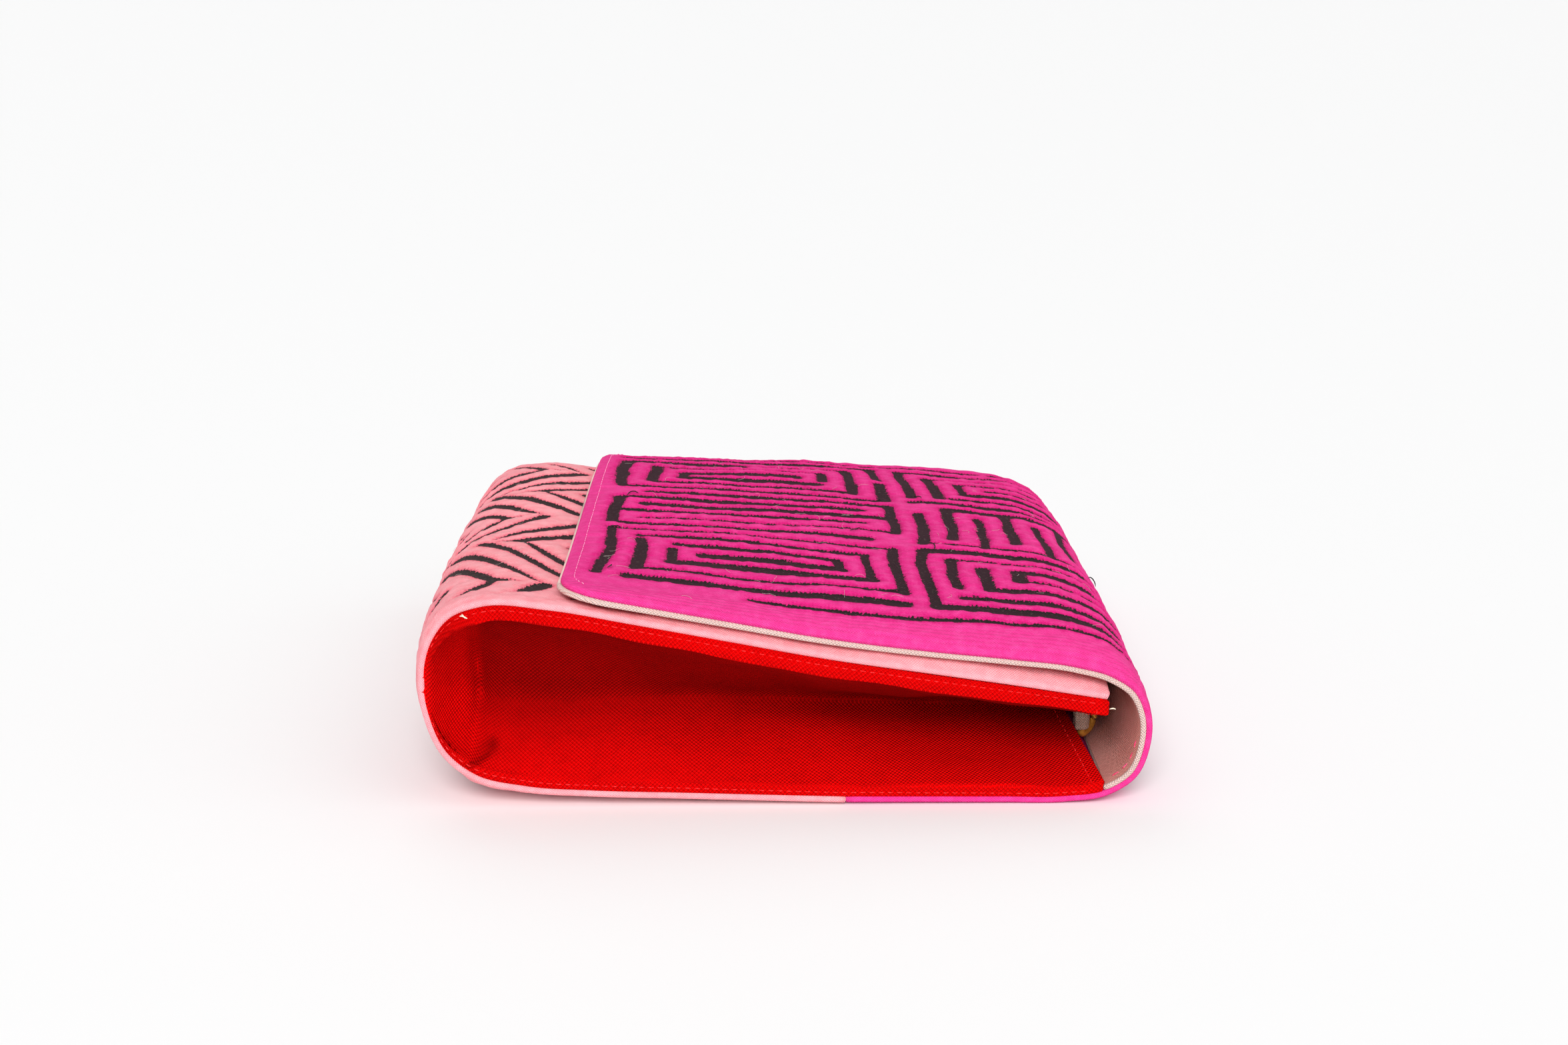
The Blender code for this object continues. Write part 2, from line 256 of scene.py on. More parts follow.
def ease(value, low, high):
    """0 below low, 1 above high, and a soft step between them."""
    share = np.clip((value - low) / (high - low), 0.0, 1.0)
    return share * share * (3.0 - 2.0 * share)


def unit(vectors):
    """The same directions at length one."""
    return vectors / np.maximum(np.linalg.norm(vectors, axis=-1, keepdims=True), 1e-12)


def spaced(stops, step_of):
    """Places from the first stop to the last, with each stretch's own step."""
    places = [stops[0]]
    for low, high, step in zip(stops, stops[1:], step_of):
        count = max(1, round((high - low) / step))
        places.extend(np.linspace(low, high, count + 1)[1:])
    return np.array(places)


def trimmed(places, block):
    """The same span with a number of steps that block divides."""
    steps = len(places) - 1
    wanted = max(block, block * round(steps / block))
    return np.interp(np.linspace(0.0, steps, wanted + 1), np.arange(steps + 1), places)


# Closed cloth sheets

BLOCK = 4
EDGE_STEPS = 5
# Value of "cut", the distance from the nearest cut, where a cloth has none
NO_CUT = 9.0


class Sheet:
    """A cloth sheet: its fine outer face as a grid, and what makes it a closed mesh."""

    def __init__(
        self, grid, place, thickness, relief=None, cut=None, normal=None, edge_cut=NO_CUT, back_cut=NO_CUT,
    ):
        """Keep the face's points and flat places, and fill in what isn't given."""
        self.grid = grid
        self.place = place
        self.thickness = thickness
        if normal is None:
            normal = unit(np.cross(np.gradient(grid, axis=0), np.gradient(grid, axis=1)))
        self.normal = normal
        self.relief = np.zeros(grid.shape[:2]) if relief is None else relief
        self.cut = np.full(grid.shape[:2], edge_cut) if cut is None else cut
        self.edge_cut = edge_cut
        self.back_cut = back_cut
        self.face = grid + self.normal * self.relief[..., None]

    def rim(self):
        """Rows and columns of the grid's edge, once round."""
        rows, columns = self.grid.shape[:2]
        loop = [(row, 0) for row in range(rows - 1)]
        loop += [(rows - 1, column) for column in range(columns - 1)]
        loop += [(row, columns - 1) for row in range(rows - 1, 0, -1)]
        loop += [(0, column) for column in range(columns - 1, 0, -1)]
        return np.array(loop)

    def mesh(self, name, floor=0.0):
        """The closed mesh, with its place and cut stored at every point."""
        rows, columns = self.grid.shape[:2]
        radius = self.thickness / 2.0
        loop = self.rim()
        edge = self.grid[loop[:, 0], loop[:, 1]]
        normal = self.normal[loop[:, 0], loop[:, 1]]
        tangent = unit(np.roll(edge, -1, axis=0) - np.roll(edge, 1, axis=0))
        outward = unit(np.cross(tangent, normal))
        points = [self.face.reshape(-1, 3)]
        places = [self.place.reshape(-1, 2)]
        cuts = [self.cut.ravel()]
        edge_place = self.place[loop[:, 0], loop[:, 1]]
        within = np.clip(loop, 1, (rows - 2, columns - 2))
        place_out = unit(edge_place - self.place[within[:, 0], within[:, 1]])
        for step in range(1, EDGE_STEPS):
            angle = math.pi * step / EDGE_STEPS
            drop = radius - radius * math.cos(angle)
            points.append(edge + outward * radius * math.sin(angle) - normal * drop)
            places.append(edge_place + place_out * radius * angle)
            cuts.append(np.full(len(loop), self.edge_cut))
        back = (self.grid - self.normal * self.thickness)[::BLOCK, ::BLOCK]
        points.append(back.reshape(-1, 3))
        places.append(self.place[::BLOCK, ::BLOCK].reshape(-1, 2))
        cuts.append(np.full(back.shape[0] * back.shape[1], self.back_cut))
        faces = self.face_quads(rows, columns, 0, False)
        first = rows * columns
        ring = loop[:, 0] * columns + loop[:, 1]
        count = len(loop)
        following = np.roll(np.arange(count), -1)
        for step in range(EDGE_STEPS - 1):
            after = first + step * count + np.arange(count)
            quads = np.stack([ring, after, after[following], ring[following]], axis=1)
            faces.extend(quads.tolist())
            ring = after
        back_first = first + (EDGE_STEPS - 1) * count
        back_rows, back_columns = back.shape[:2]
        faces.extend(self.face_quads(back_rows, back_columns, back_first, True))
        inner = back_first + (loop[:, 0] // BLOCK) * back_columns + loop[:, 1] // BLOCK
        half = BLOCK // 2
        for start in range(0, count, BLOCK):
            near = int(inner[start])
            far = int(inner[(start + BLOCK) % count])
            steps = [int(ring[(start + offset) % count]) for offset in range(BLOCK + 1)]
            for offset in range(BLOCK):
                anchor = near if offset < half else far
                faces.append([anchor, steps[offset + 1], steps[offset]])
            faces.append([near, far, steps[half]])
        points = np.concatenate(points)
        points[:, 2] = np.maximum(points[:, 2], floor)
        return fill_mesh(name, points, faces, np.concatenate(places), np.concatenate(cuts))

    @staticmethod
    def face_quads(rows, columns, first, turned):
        """Quads of a grid whose points are numbered row by row."""
        corner = first + np.arange(rows - 1)[:, None] * columns + np.arange(columns - 1)
        quads = np.stack([corner, corner + columns, corner + columns + 1, corner + 1], axis=2)
        quads = quads.reshape(-1, 4)
        return (quads[:, ::-1] if turned else quads).tolist()

    def locate(self, u, v):
        """Row and column shares of places on the flat cloth."""
        rows, columns = self.grid.shape[:2]
        middle = self.place[:, columns // 2, 0]
        order = np.argsort(middle)
        row = np.interp(u, middle[order], np.arange(rows)[order])
        found = []
        for at, depth in zip(np.atleast_1d(row), np.atleast_1d(v)):
            line = self.place[int(round(at)), :, 1]
            ranked = np.argsort(line)
            found.append(np.interp(depth, line[ranked], np.arange(columns)[ranked]))
        return np.atleast_1d(row) / (rows - 1), np.array(found) / (columns - 1)

    def at(self, along, across, lift=0.0):
        """Points and normals of the outer face, by row and column shares."""
        rows, columns = self.grid.shape[:2]
        row = np.clip(np.asarray(along) * (rows - 1), 0.0, rows - 1.001)
        column = np.clip(np.asarray(across) * (columns - 1), 0.0, columns - 1.001)
        row_first = row.astype(int)
        column_first = column.astype(int)
        row_share = (row - row_first)[..., None]
        column_share = (column - column_first)[..., None]
        found = []
        for field in (self.face, self.normal):
            near = field[row_first, column_first] * (1 - column_share)
            near = near + field[row_first, column_first + 1] * column_share
            far = field[row_first + 1, column_first] * (1 - column_share)
            far = far + field[row_first + 1, column_first + 1] * column_share
            found.append(near * (1 - row_share) + far * row_share)
        normals = unit(found[1])
        return found[0] + normals * lift, normals


def fill_mesh(name, points, faces, places=None, cuts=None):
    """A smooth mesh in metres from table points and faces."""
    mesh = bpy.data.meshes.new(name)
    mesh.from_pydata(to_world(points).tolist(), [], faces)
    if places is not None:
        stored = mesh.attributes.new("place", "FLOAT_VECTOR", "POINT")
        full = np.concatenate([places, np.zeros((len(places), 1))], axis=1)
        stored.data.foreach_set("vector", full.astype(np.float32).ravel())
    if cuts is not None:
        stored = mesh.attributes.new("cut", "FLOAT", "POINT")
        stored.data.foreach_set("value", cuts.astype(np.float32))
    mesh.update()
    mesh.shade_smooth()
    return mesh


def piece(name, mesh, finish, slot, *nodes):
    """A named piece with its material, riding on the bag."""
    made = bpy.data.objects.new(name, mesh)
    mesh.materials.append(finish)
    bpy.context.scene.collection.objects.link(made)
    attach(made, "root")
    if nodes:
        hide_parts(*nodes)
    return made


def tubes(name, paths, radius, sides=6, closed=False, taper=False):
    """One mesh of round threads or wires along the given paths of points."""
    points = []
    faces = []
    circle = np.arange(sides) * FULL_TURN / sides
    for path in paths:
        path = np.asarray(path, float)
        count = len(path)
        if closed:
            tangent = unit(np.roll(path, -1, axis=0) - np.roll(path, 1, axis=0))
        else:
            tangent = unit(np.gradient(path, axis=0))
        aside = np.cross(tangent, np.where(np.abs(tangent[:, 2:3]) > 0.9, [[1, 0, 0]], [[0, 0, 1]]))
        aside = unit(aside)
        above = np.cross(aside, tangent)
        wide = np.full(count, radius)
        if taper:
            wide = radius * np.sqrt(np.clip(1.0 - np.linspace(-0.97, 0.97, count) ** 4, 0.05, 1.0))
        first = len(points)
        for place, left, up, size in zip(path, aside, above, wide):
            for angle in circle:
                points.append(place + (left * math.cos(angle) + up * math.sin(angle)) * size)
        for step in range(count if closed else count - 1):
            here = first + step * sides
            there = first + ((step + 1) % count) * sides
            for side in range(sides):
                after = (side + 1) % sides
                faces.append([here + side, here + after, there + after, there + side])
        if not closed:
            faces.append([first + side for side in range(sides)][::-1])
            faces.append([first + (count - 1) * sides + side for side in range(sides)])
    return fill_mesh(name, np.array(points), faces)


# Cut lines of the two mola panels

CUT_ALONG = 1.35
CUT_ACROSS = 1.32
# How much wider or narrower than that a cut may be along and across the bag
ALONG_SHARES = (0.5, 0.9, 1.15, 1.35)
ACROSS_SHARES = (0.82, 1.2)
LATTICE_U = 8.0
LATTICE_V = 10.8
PITCH_U = 7.2
PITCH_V = 6.4

# Lines of the flap's labyrinth on its lattice: (column, row), (column, row), ...
LABYRINTH = (
    # near row, edge side
    ((9.0, 1), (0.9, 1)),
    ((0, 1), (0, 7), (9, 7), (9, 2), (1, 2), (1, 5.4)),
    ((1, 6), (8, 6), (8, 3), (2, 3), (2, 4.4)),
    ((2.2, 5), (7, 5), (7, 4), (3, 4)),
    # middle row, edge side
    ((8.2, 8), (0, 8), (0, 12), (8, 12)),
    ((0, 10), (8, 10)),
    ((1, 9), (9, 9), (9, 13), (1, 13)),
    ((1, 11), (9, 11)),
    # far row, edge side
    ((0, 20), (9, 20), (9, 17.3)),
    ((9, 16.6), (9, 14), (0, 14), (0, 19), (4, 19)),
    ((4.8, 19), (8, 19), (8, 15), (1, 15), (1, 18), (7, 18), (7, 16.6)),
    ((6.8, 16), (2, 16), (2, 17), (6, 17)),
    # near row, hinge side
    ((30, 1), (10, 1), (10, 7), (30, 7)),
    ((11, 2), (20, 2), (20, 6), (11, 6), (11, 3)),
    ((12, 5), (12, 3), (19, 3), (19, 5), (13, 5), (13, 4), (18, 4)),
    # middle row, hinge side
    ((10, 12.2), (10, 8), (30, 8)),
    ((12, 8), (12, 12.1)),
    ((14, 8), (14, 12)),
    ((16, 8), (16, 12.1)),
    ((18, 8), (18, 12)),
    ((20, 8), (20, 12.2)),
    ((11, 13), (30, 13)),
    ((11, 13), (11, 9)),
    ((13, 13), (13, 9)),
    ((15, 13), (15, 9.1)),
    ((17, 13), (17, 9)),
    ((19, 13), (19, 9)),
    # far row, hinge side
    ((10, 14), (30, 14)),
    ((10, 15), (10, 20), (30, 20)),
    ((30, 19), (11, 19), (11, 15), (30, 15)),
    ((21, 18), (12, 18), (12, 16), (21, 16)),
    ((13, 17), (22, 17)),
    # under the bag
    ((22, 2), (22, 6)),
    ((23, 6), (23, 2), (29, 2), (29, 6), (24, 6), (24, 3), (28, 3), (28, 5), (25, 5), (25, 4)),
    ((22, 9), (22, 12)),
    ((29, 9), (23, 9), (23, 12), (29, 12), (29, 10), (24, 10), (24, 11), (28, 11)),
    ((23, 16), (23, 18), (29, 18), (29, 16), (24, 16), (24, 17), (28, 17)),
    # borders
    ((4.6, 0), (30, 0)),
    ((0, 21), (13, 21)),
    ((13.8, 21), (30, 21)),
)


def labyrinth_lines():
    """The flap's cut lines in millimetres, each with its half widths."""
    draw = np.random.default_rng(12)
    lines = []
    for chart in LABYRINTH:
        points = np.array(chart, float) * (PITCH_U, PITCH_V) + (LATTICE_U, LATTICE_V)
        lean = np.abs(np.diff(points, axis=0))
        along = CUT_ALONG * draw.choice(ALONG_SHARES, len(lean))
        across = CUT_ACROSS * draw.uniform(*ACROSS_SHARES, len(lean))
        widths = np.where(lean[:, 0] > lean[:, 1], along, across)
        lines.append((points, widths, widths))
    return lines


CHEVRON_PERIOD = 55.0
CHEVRON_REACH = 27.0
CHEVRON_PITCH = 11.4
CHEVRON_START_U = -46.0
CHEVRON_START_V = -8.0
CHEVRON_LEVELS = 23
CHEVRON_HALVES = 7
CHEVRON_BOW = 1.7
CHEVRON_STEPS = 12
CHEVRON_SHIFT = 1.3
CHEVRON_MARGIN = 8.0
CHEVRON_CLOSING = 2.6
# Share of an arm that is cut off at a plain end, least and most
ARM_TRIM = (0.05, 0.12)
# An arm's half width at its ends, and how much more its middle has
ARM_END_WIDTH = 0.35
ARM_SWELL = (0.8, 1.35)
FORK_WIDER = 0.75
PLAIN_NARROWER = 0.25
# A fork's tip: its reach, its lean and its half widths
TIP_REACH = 5.5
TIP_LEAN = 0.6
TIP_WIDTHS = (1.35, -0.15)


def near_margin(across):
    """How much a cut narrows towards the panel's sides."""
    inside = np.minimum(across, BAG_WIDTH - across) - CHEVRON_MARGIN
    return CHEVRON_CLOSING * (1.0 - ease(inside, -0.5, 6.0))


def chevron_lines():
    """The front panel's zigzag cuts, each arm with its half widths."""
    draw = np.random.default_rng(64)
    lines = []
    share = np.linspace(0.0, 1.0, CHEVRON_STEPS + 1)
    shifts = draw.uniform(-CHEVRON_SHIFT, CHEVRON_SHIFT, (CHEVRON_LEVELS, CHEVRON_HALVES + 1))
    for level in range(CHEVRON_LEVELS):
        for half in range(CHEVRON_HALVES):
            outward = 1.0 if half % 2 == 0 else -1.0
            low = CHEVRON_START_U + CHEVRON_PITCH * level
            ends = [low, low + CHEVRON_REACH][:: int(outward)]
            first = ends[0] + shifts[level, half]
            second = ends[1] + shifts[level, half + 1]
            start = CHEVRON_START_V + CHEVRON_PERIOD / 2.0 * half
            forked = (level + half) % 2 == 0
            trim = draw.uniform(*ARM_TRIM)
            part = share if forked else trim + (1.0 - trim) * share
            bow = np.sin(part * math.pi) * CHEVRON_BOW
            along = first + (second - first) * part + bow
            across = start + CHEVRON_PERIOD / 2.0 * part
            wide = ARM_END_WIDTH + draw.uniform(*ARM_SWELL) * np.sin(share * math.pi) ** 0.6
            near_fork = share if outward < 0 else 1.0 - share
            if forked:
                for end in (near_fork, 1.0 - near_fork):
                    wide = wide + FORK_WIDER * ease(end, 0.72, 1.0)
            else:
                wide = wide - PLAIN_NARROWER * ease(near_fork, 0.8, 1.0)
            wide = wide - near_margin(across)
            lines.append((np.stack([along, across], axis=1), wide[:-1], wide[1:]))
            if not forked:
                continue
            tip = np.array([TIP_LEAN, -TIP_REACH]) * outward
            points = np.stack([first + tip, np.full(2, start)], axis=1)
            wide = np.array(TIP_WIDTHS) - near_margin(points[:, 1])
            lines.append((points, wide[:-1], wide[1:]))
    return lines


FAR_FROM_CUTS = 50.0


def distance_from_cuts(u, v, lines):
    """Distance to the nearest cut's edge, negative in it, and the place along it."""
    best = np.full(u.shape, FAR_FROM_CUTS)
    along = np.zeros(u.shape)
    passed = 0.0
    for points, starts, ends in lines:
        for first, second, wide, wider in zip(points, points[1:], starts, ends):
            step = second - first
            length = float(np.hypot(*step))
            share = ((u - first[0]) * step[0] + (v - first[1]) * step[1]) / length**2
            share = np.clip(share, 0.0, 1.0)
            away = np.hypot(u - first[0] - share * step[0], v - first[1] - share * step[1])
            found = away - (wide + (wider - wide) * share)
            nearer = found < best
            best = np.where(nearer, found, best)
            along = np.where(nearer, passed + share * length, along)
            passed += length
    return best, along


RIDGE_HEIGHT = 0.4
CUT_DEPTH = 0.14
CUT_WALL = 0.3
WARP_SIZES = (55.0, 60.0)
SHAKE = 0.12
SHAKE_SIZE = 13.0
NIBBLE = 0.06
NIBBLE_SIZE = 5.0
PUCKER = 0.12
PUCKER_REACH = 2.0
CRUMPLE = 0.07
CRUMPLE_SIZE = 4.2
SWELL = 0.12
SWELL_SIZE = 24.0
EDGE_FADE = 2.2
# (pitch in millimetres, share) of the gathers that run out from a cut
GATHERS = ((3.7, 0.5), (2.45, 0.35), (1.75, 0.25))
GATHER_SIZE = 16.0
GATHER_OF_EDGE = 0.07
GATHER_REACH = 0.9


def mola_relief(u, v, lines, edge, seed, warp, softness):
    """Relief and distance from the cuts of a mola panel."""
    warped = []
    for part, size, offset in zip((u, v), WARP_SIZES, (0, 2)):
        shaken = SHAKE * ripple(u, v, SHAKE_SIZE, seed + offset + 1)
        warped.append(part + warp * ripple(u, v, size, seed + offset) + shaken)
    cut, along = distance_from_cuts(*warped, lines)
    cut = cut + NIBBLE * ripple(u, v, NIBBLE_SIZE, seed + 4)
    uneven = ripple(u, v, GATHER_SIZE, seed + 5)
    gather = np.zeros(u.shape)
    for pitch, share in GATHERS:
        gather = gather + share * np.sin(FULL_TURN * along / pitch + 2.0 * uneven + 40.0 * share)
    cut = cut + GATHER_OF_EDGE * gather * np.exp(-np.abs(cut) / GATHER_REACH)
    rise = RIDGE_HEIGHT * (1.0 - np.exp(-np.maximum(cut, 0.0) / softness))
    sink = -CUT_DEPTH * (1.0 - np.exp(np.minimum(cut, 0.0) / CUT_WALL))
    pucker = PUCKER * gather * np.exp(-np.maximum(cut - 1.0, 0.0) / PUCKER_REACH) * ease(cut, -0.1, 0.7)
    crumple = CRUMPLE * ripple(u, v, CRUMPLE_SIZE, seed + 6, 9) * ease(cut, 0.0, 1.0)
    relief = rise + sink + pucker + crumple + SWELL * ripple(u, v, SWELL_SIZE, seed + 7)
    return relief * ease(edge, 0.0, EDGE_FADE), cut


# Materials

MIX_FACTOR, MIX_FIRST, MIX_SECOND, MIX_RESULT = 0, 6, 7, 2


def shade(red, green, blue):
    """A colour given as it looks on a screen, 0 to 255, as light."""
    values = np.array([red, green, blue]) / 255.0
    light = np.where(values <= 0.04045, values / 12.92, ((values + 0.055) / 1.055) ** 2.4)
    return (*light.tolist(), 1.0)


def add(tree, kind, inputs=None, **settings):
    """A node with its settings and inputs; an input may be another node's socket."""
    made = tree.nodes.new("ShaderNode" + kind)
    for name, value in settings.items():
        setattr(made, name, value)
    for name, value in (inputs or {}).items():
        if isinstance(value, bpy.types.NodeSocket):
            tree.links.new(value, made.inputs[name])
        else:
            made.inputs[name].default_value = value
    return made


def sums(tree, operation, first, second=0.0):
    """A math node's result."""
    return add(tree, "Math", {0: first, 1: second}, operation=operation).outputs[0]


def blended(tree, factor, first, second, kind="MIX"):
    """The mix of two colours."""
    inputs = {MIX_FACTOR: factor, MIX_FIRST: first, MIX_SECOND: second}
    made = add(tree, "Mix", inputs, data_type="RGBA", blend_type=kind)
    return made.outputs[MIX_RESULT]


def ranged(tree, value, low, high, to_low=0.0, to_high=1.0):
    """A value moved from one range to another."""
    inputs = {0: value, 1: low, 2: high, 3: to_low, 4: to_high}
    return add(tree, "MapRange", inputs).outputs[0]


def noise(tree, place, scale, detail=2.0):
    """A noise texture's value about the cloth's own place."""
    inputs = {"Vector": place, "Scale": scale, "Detail": detail}
    return add(tree, "TexNoise", inputs).outputs[0]


def start_material(name):
    """A new material, its node tree and its shader."""
    made = bpy.data.materials.new(name)
    made.use_nodes = True
    return made, made.node_tree, made.node_tree.nodes["Principled BSDF"]


def stored(tree, name, output):
    """What a mesh stores at each point under the given name."""
    return add(tree, "Attribute", attribute_name=name).outputs[output]


def mixed_tones(tree, tone, steps):
    """A tone mixed in turn by (value, low, high, share at low, share at high, colour)."""
    for *limits, colour in steps:
        tone = blended(tree, ranged(tree, *limits), tone, colour)
    return tone


def wave(tree, place, pitch, shift):
    """A sine along one direction of the cloth, moved by a shift."""
    turned = sums(tree, "MULTIPLY", place, FULL_TURN / pitch)
    return sums(tree, "SINE", sums(tree, "ADD", turned, shift))


def weave(tree, place, pitch):
    """Height of a plain weave, and the noise of its yarns."""
    parts = add(tree, "SeparateXYZ", {0: place})
    uneven = noise(tree, place, 0.8 / pitch, 1.0)
    waves = [wave(tree, parts.outputs[part], pitch, uneven) for part in (0, 1)]
    return sums(tree, "MULTIPLY", *waves), uneven


def dress_shader(tree, shader, tone, height, depth, settings, strength=1.0):
    """Give a shader its tone, its bump of a depth in millimetres and its plain settings."""
    tree.links.new(tone, shader.inputs["Base Color"])
    bump = add(tree, "Bump", {"Strength": strength, "Distance": depth * MM, "Height": height})
    tree.links.new(bump.outputs[0], shader.inputs["Normal"])
    for name, value in settings.items():
        shader.inputs[name].default_value = value


# A cloth's second tint is full at the lower of these values of "cut" and gone at the upper
# On the red canvas that tint is painted shade in the gussets' fold; on the cream canvas it is the pinker
# cloth of the facing's inner face.
INSIDE_BOTTOM = 3.0
INSIDE_TOP = 7.0


def cloth(name, colour, dark, light, pitch, depth, sheen, specular=0.25, mottle=0.35, inside=None):
    """Woven cloth with its weave, uneven dye and soft fuzz."""
    made, tree, shader = start_material(name)
    place = stored(tree, "place", "Vector")
    height, uneven = weave(tree, place, pitch)
    broad, fine, patchy = (noise(tree, place, scale, 3.0) for scale in (0.05, 1.6, 0.3))
    tone = mixed_tones(tree, colour, (
        (broad, 0.35, 0.7, 0.0, mottle, dark),
        (fine, 0.5, 0.8, 0.0, 0.6, light),
        (patchy, 0.3, 0.5, 0.3, 0.0, dark),
        (height, -1.0, 0.1, 0.75, 0.0, dark),
        (height, 0.3, 1.0, 0.0, 0.8, light),
    ))
    # The second tint: painted shade on the red canvas, the inner face's pinker cloth on the cream canvas
    if inside:
        cut = stored(tree, "cut", "Fac")
        tinted = blended(tree, 1.0, tone, inside, "MULTIPLY")
        tone = blended(tree, ranged(tree, cut, INSIDE_BOTTOM, INSIDE_TOP), tinted, tone)
    bumped = sums(tree, "ADD", height, sums(tree, "MULTIPLY", uneven, 0.8))
    dress_shader(tree, shader, tone, bumped, depth, {
        "Roughness": 0.9, "Specular IOR Level": specular,
        "Sheen Weight": sheen, "Sheen Roughness": 0.45, "Sheen Tint": light,
    })
    return made


TOOTH_PITCH = 0.85
TOOTH_DEPTH = 0.1
QUILT_PITCH = 1.35
MOLA_WEAVE_PITCH = 0.6
MOLA_BUMP_DEPTH = 0.075


def mola_cloth(name, colour, dark, light, edge, rows=0.0):
    """Cotton with cuts that show the black cloth beneath it."""
    made, tree, shader = start_material(name)
    place = stored(tree, "place", "Vector")
    cut = stored(tree, "cut", "Fac")
    frayed = ranged(tree, noise(tree, place, 3.2, 4.0), 0.3, 0.7, -0.14, 0.14)
    notched = ranged(tree, noise(tree, place, 0.9, 1.0), 0.3, 0.7, -0.16, 0.16)
    ragged = sums(tree, "ADD", cut, sums(tree, "ADD", frayed, notched))
    parts = add(tree, "SeparateXYZ", {0: place})
    wander = sums(tree, "MULTIPLY", noise(tree, place, 0.5, 1.0), 9.0)
    for part in (0, 1):
        teeth = wave(tree, parts.outputs[part], TOOTH_PITCH, wander)
        ragged = sums(tree, "ADD", ragged, sums(tree, "MULTIPLY", teeth, TOOTH_DEPTH))
    on_top = ranged(tree, ragged, -0.05, 0.05)
    height, _ = weave(tree, place, MOLA_WEAVE_PITCH)
    broad, fine, patchy = (noise(tree, place, scale, 3.0) for scale in (0.045, 2.2, 0.42))
    tone = mixed_tones(tree, colour, (
        (broad, 0.35, 0.7, 0.0, 0.45, dark),
        (fine, 0.5, 0.85, 0.0, 0.55, light),
        (patchy, 0.45, 0.7, 0.0, 0.35, light),
        (patchy, 0.3, 0.5, 0.35, 0.0, dark),
        # Lighter tone on the strips away from the cuts: partly pale fuzz, partly a painted highlight on
        # their tops
        (ragged, 0.9, 2.2, 0.0, 0.28, light),
        # Darker edge tone at the cuts: partly the turned-under edge's deeper colour, partly painted shade
        # where the strip rounds down into the cut
        (ragged, 0.0, 0.8, 0.8, 0.0, edge),
        (height, -1.0, 0.3, 0.6, 0.0, dark),
    ))
    lint = noise(tree, place, 1.3, 6.0)
    black = mixed_tones(tree, BLACK_YARN, (
        (height, -0.6, 1.0, 0.0, 1.0, GREY_YARN),
        (lint, 0.58, 0.72, 0.0, 0.35, LINT),
    ))
    tufts = sums(tree, "MULTIPLY", noise(tree, place, 1.1, 4.0), 2.2)
    bumped = sums(tree, "ADD", sums(tree, "MULTIPLY", height, 0.8), tufts)
    if rows:
        quilted = wave(tree, parts.outputs[1], QUILT_PITCH, sums(tree, "MULTIPLY", wander, 0.25))
        within = ranged(tree, parts.outputs[1], rows, rows - 1.5, 0.0, 0.75)
        bumped = sums(tree, "ADD", bumped, sums(tree, "MULTIPLY", quilted, within))
    tone = blended(tree, on_top, black, tone)
    dress_shader(tree, shader, tone, bumped, MOLA_BUMP_DEPTH, {
        "Roughness": 0.88, "Specular IOR Level": 0.22,
        "Sheen Weight": 0.06, "Sheen Roughness": 0.4, "Sheen Tint": light,
    })
    return made


def thread(name, colour, light):
    """Spun thread with a little shine."""
    made, tree, shader = start_material(name)
    place = add(tree, "TexCoord").outputs["Object"]
    ply = noise(tree, place, 2600.0, 2.0)
    tone = blended(tree, ranged(tree, ply, 0.4, 0.65), colour, light)
    dress_shader(tree, shader, tone, ply, 0.05, {"Roughness": 0.7, "Specular IOR Level": 0.15}, 0.6)
    return made


def brass(name):
    """Worn brass wire with fine marks."""
    made, tree, shader = start_material(name)
    place = add(tree, "TexCoord").outputs["Object"]
    worn = noise(tree, place, 500.0, 4.0)
    marks = noise(tree, place, 3000.0, 3.0)
    tone = blended(tree, ranged(tree, worn, 0.4, 0.7), BRASS, BRASS_DULL)
    tree.links.new(ranged(tree, worn, 0.3, 0.7, 0.3, 0.5), shader.inputs["Roughness"])
    dress_shader(tree, shader, tone, marks, 0.03, {"Metallic": 0.5}, 0.4)
    return made


BLACK_YARN = shade(12, 9, 8)
GREY_YARN = shade(40, 35, 32)
LINT = shade(120, 112, 104)
BRASS = shade(250, 188, 78)
BRASS_DULL = shade(206, 138, 48)

# The fourth colour of each mola cloth is its darker tone at the cuts' edges, partly painted shade
MAGENTA = mola_cloth(
    "magenta_mola", shade(236, 24, 134), shade(212, 12, 112), shade(255, 96, 178), shade(186, 6, 94),
    rows=9.0,
)
SALMON = mola_cloth(
    "salmon_mola", shade(255, 156, 164), shade(248, 124, 138), shade(255, 200, 206), shade(228, 70, 104)
)
CANVAS = cloth(
    "cream_canvas", shade(255, 226, 216), shade(252, 194, 182), shade(255, 244, 238), 0.72, 0.24, 0.1,
    inside=shade(255, 196, 190),
)
# The red canvas's second tint is painted shade: a darker red down in the gussets' fold and along the pleat
RED = cloth(
    "red_canvas", shade(255, 0, 1), shade(196, 0, 0), shade(255, 16, 16), 0.92, 0.3, 0.0, 0.04,
    inside=shade(172, 110, 110),
)
TAB_CLOTH = cloth(
    "tab_canvas", shade(232, 204, 184), shade(200, 160, 136), shade(250, 232, 214), 0.6, 0.16, 0.2
)
RED_THREAD = thread("red_thread", shade(236, 0, 3), shade(255, 60, 60))
PALE_THREAD = thread("pale_thread", shade(236, 120, 178), shade(252, 176, 208))
MAGENTA_THREAD = thread("magenta_thread", shade(250, 40, 110), shade(255, 110, 160))
LINT_THREAD = thread("lint_thread", shade(196, 176, 172), shade(224, 208, 202))
CREAM_THREAD = thread("cream_thread", shade(244, 228, 200), shade(255, 246, 228))
BLACK_THREAD = thread("black_thread", shade(26, 22, 24), shade(70, 62, 60))
BRASS_METAL = brass("brass")


# Panels

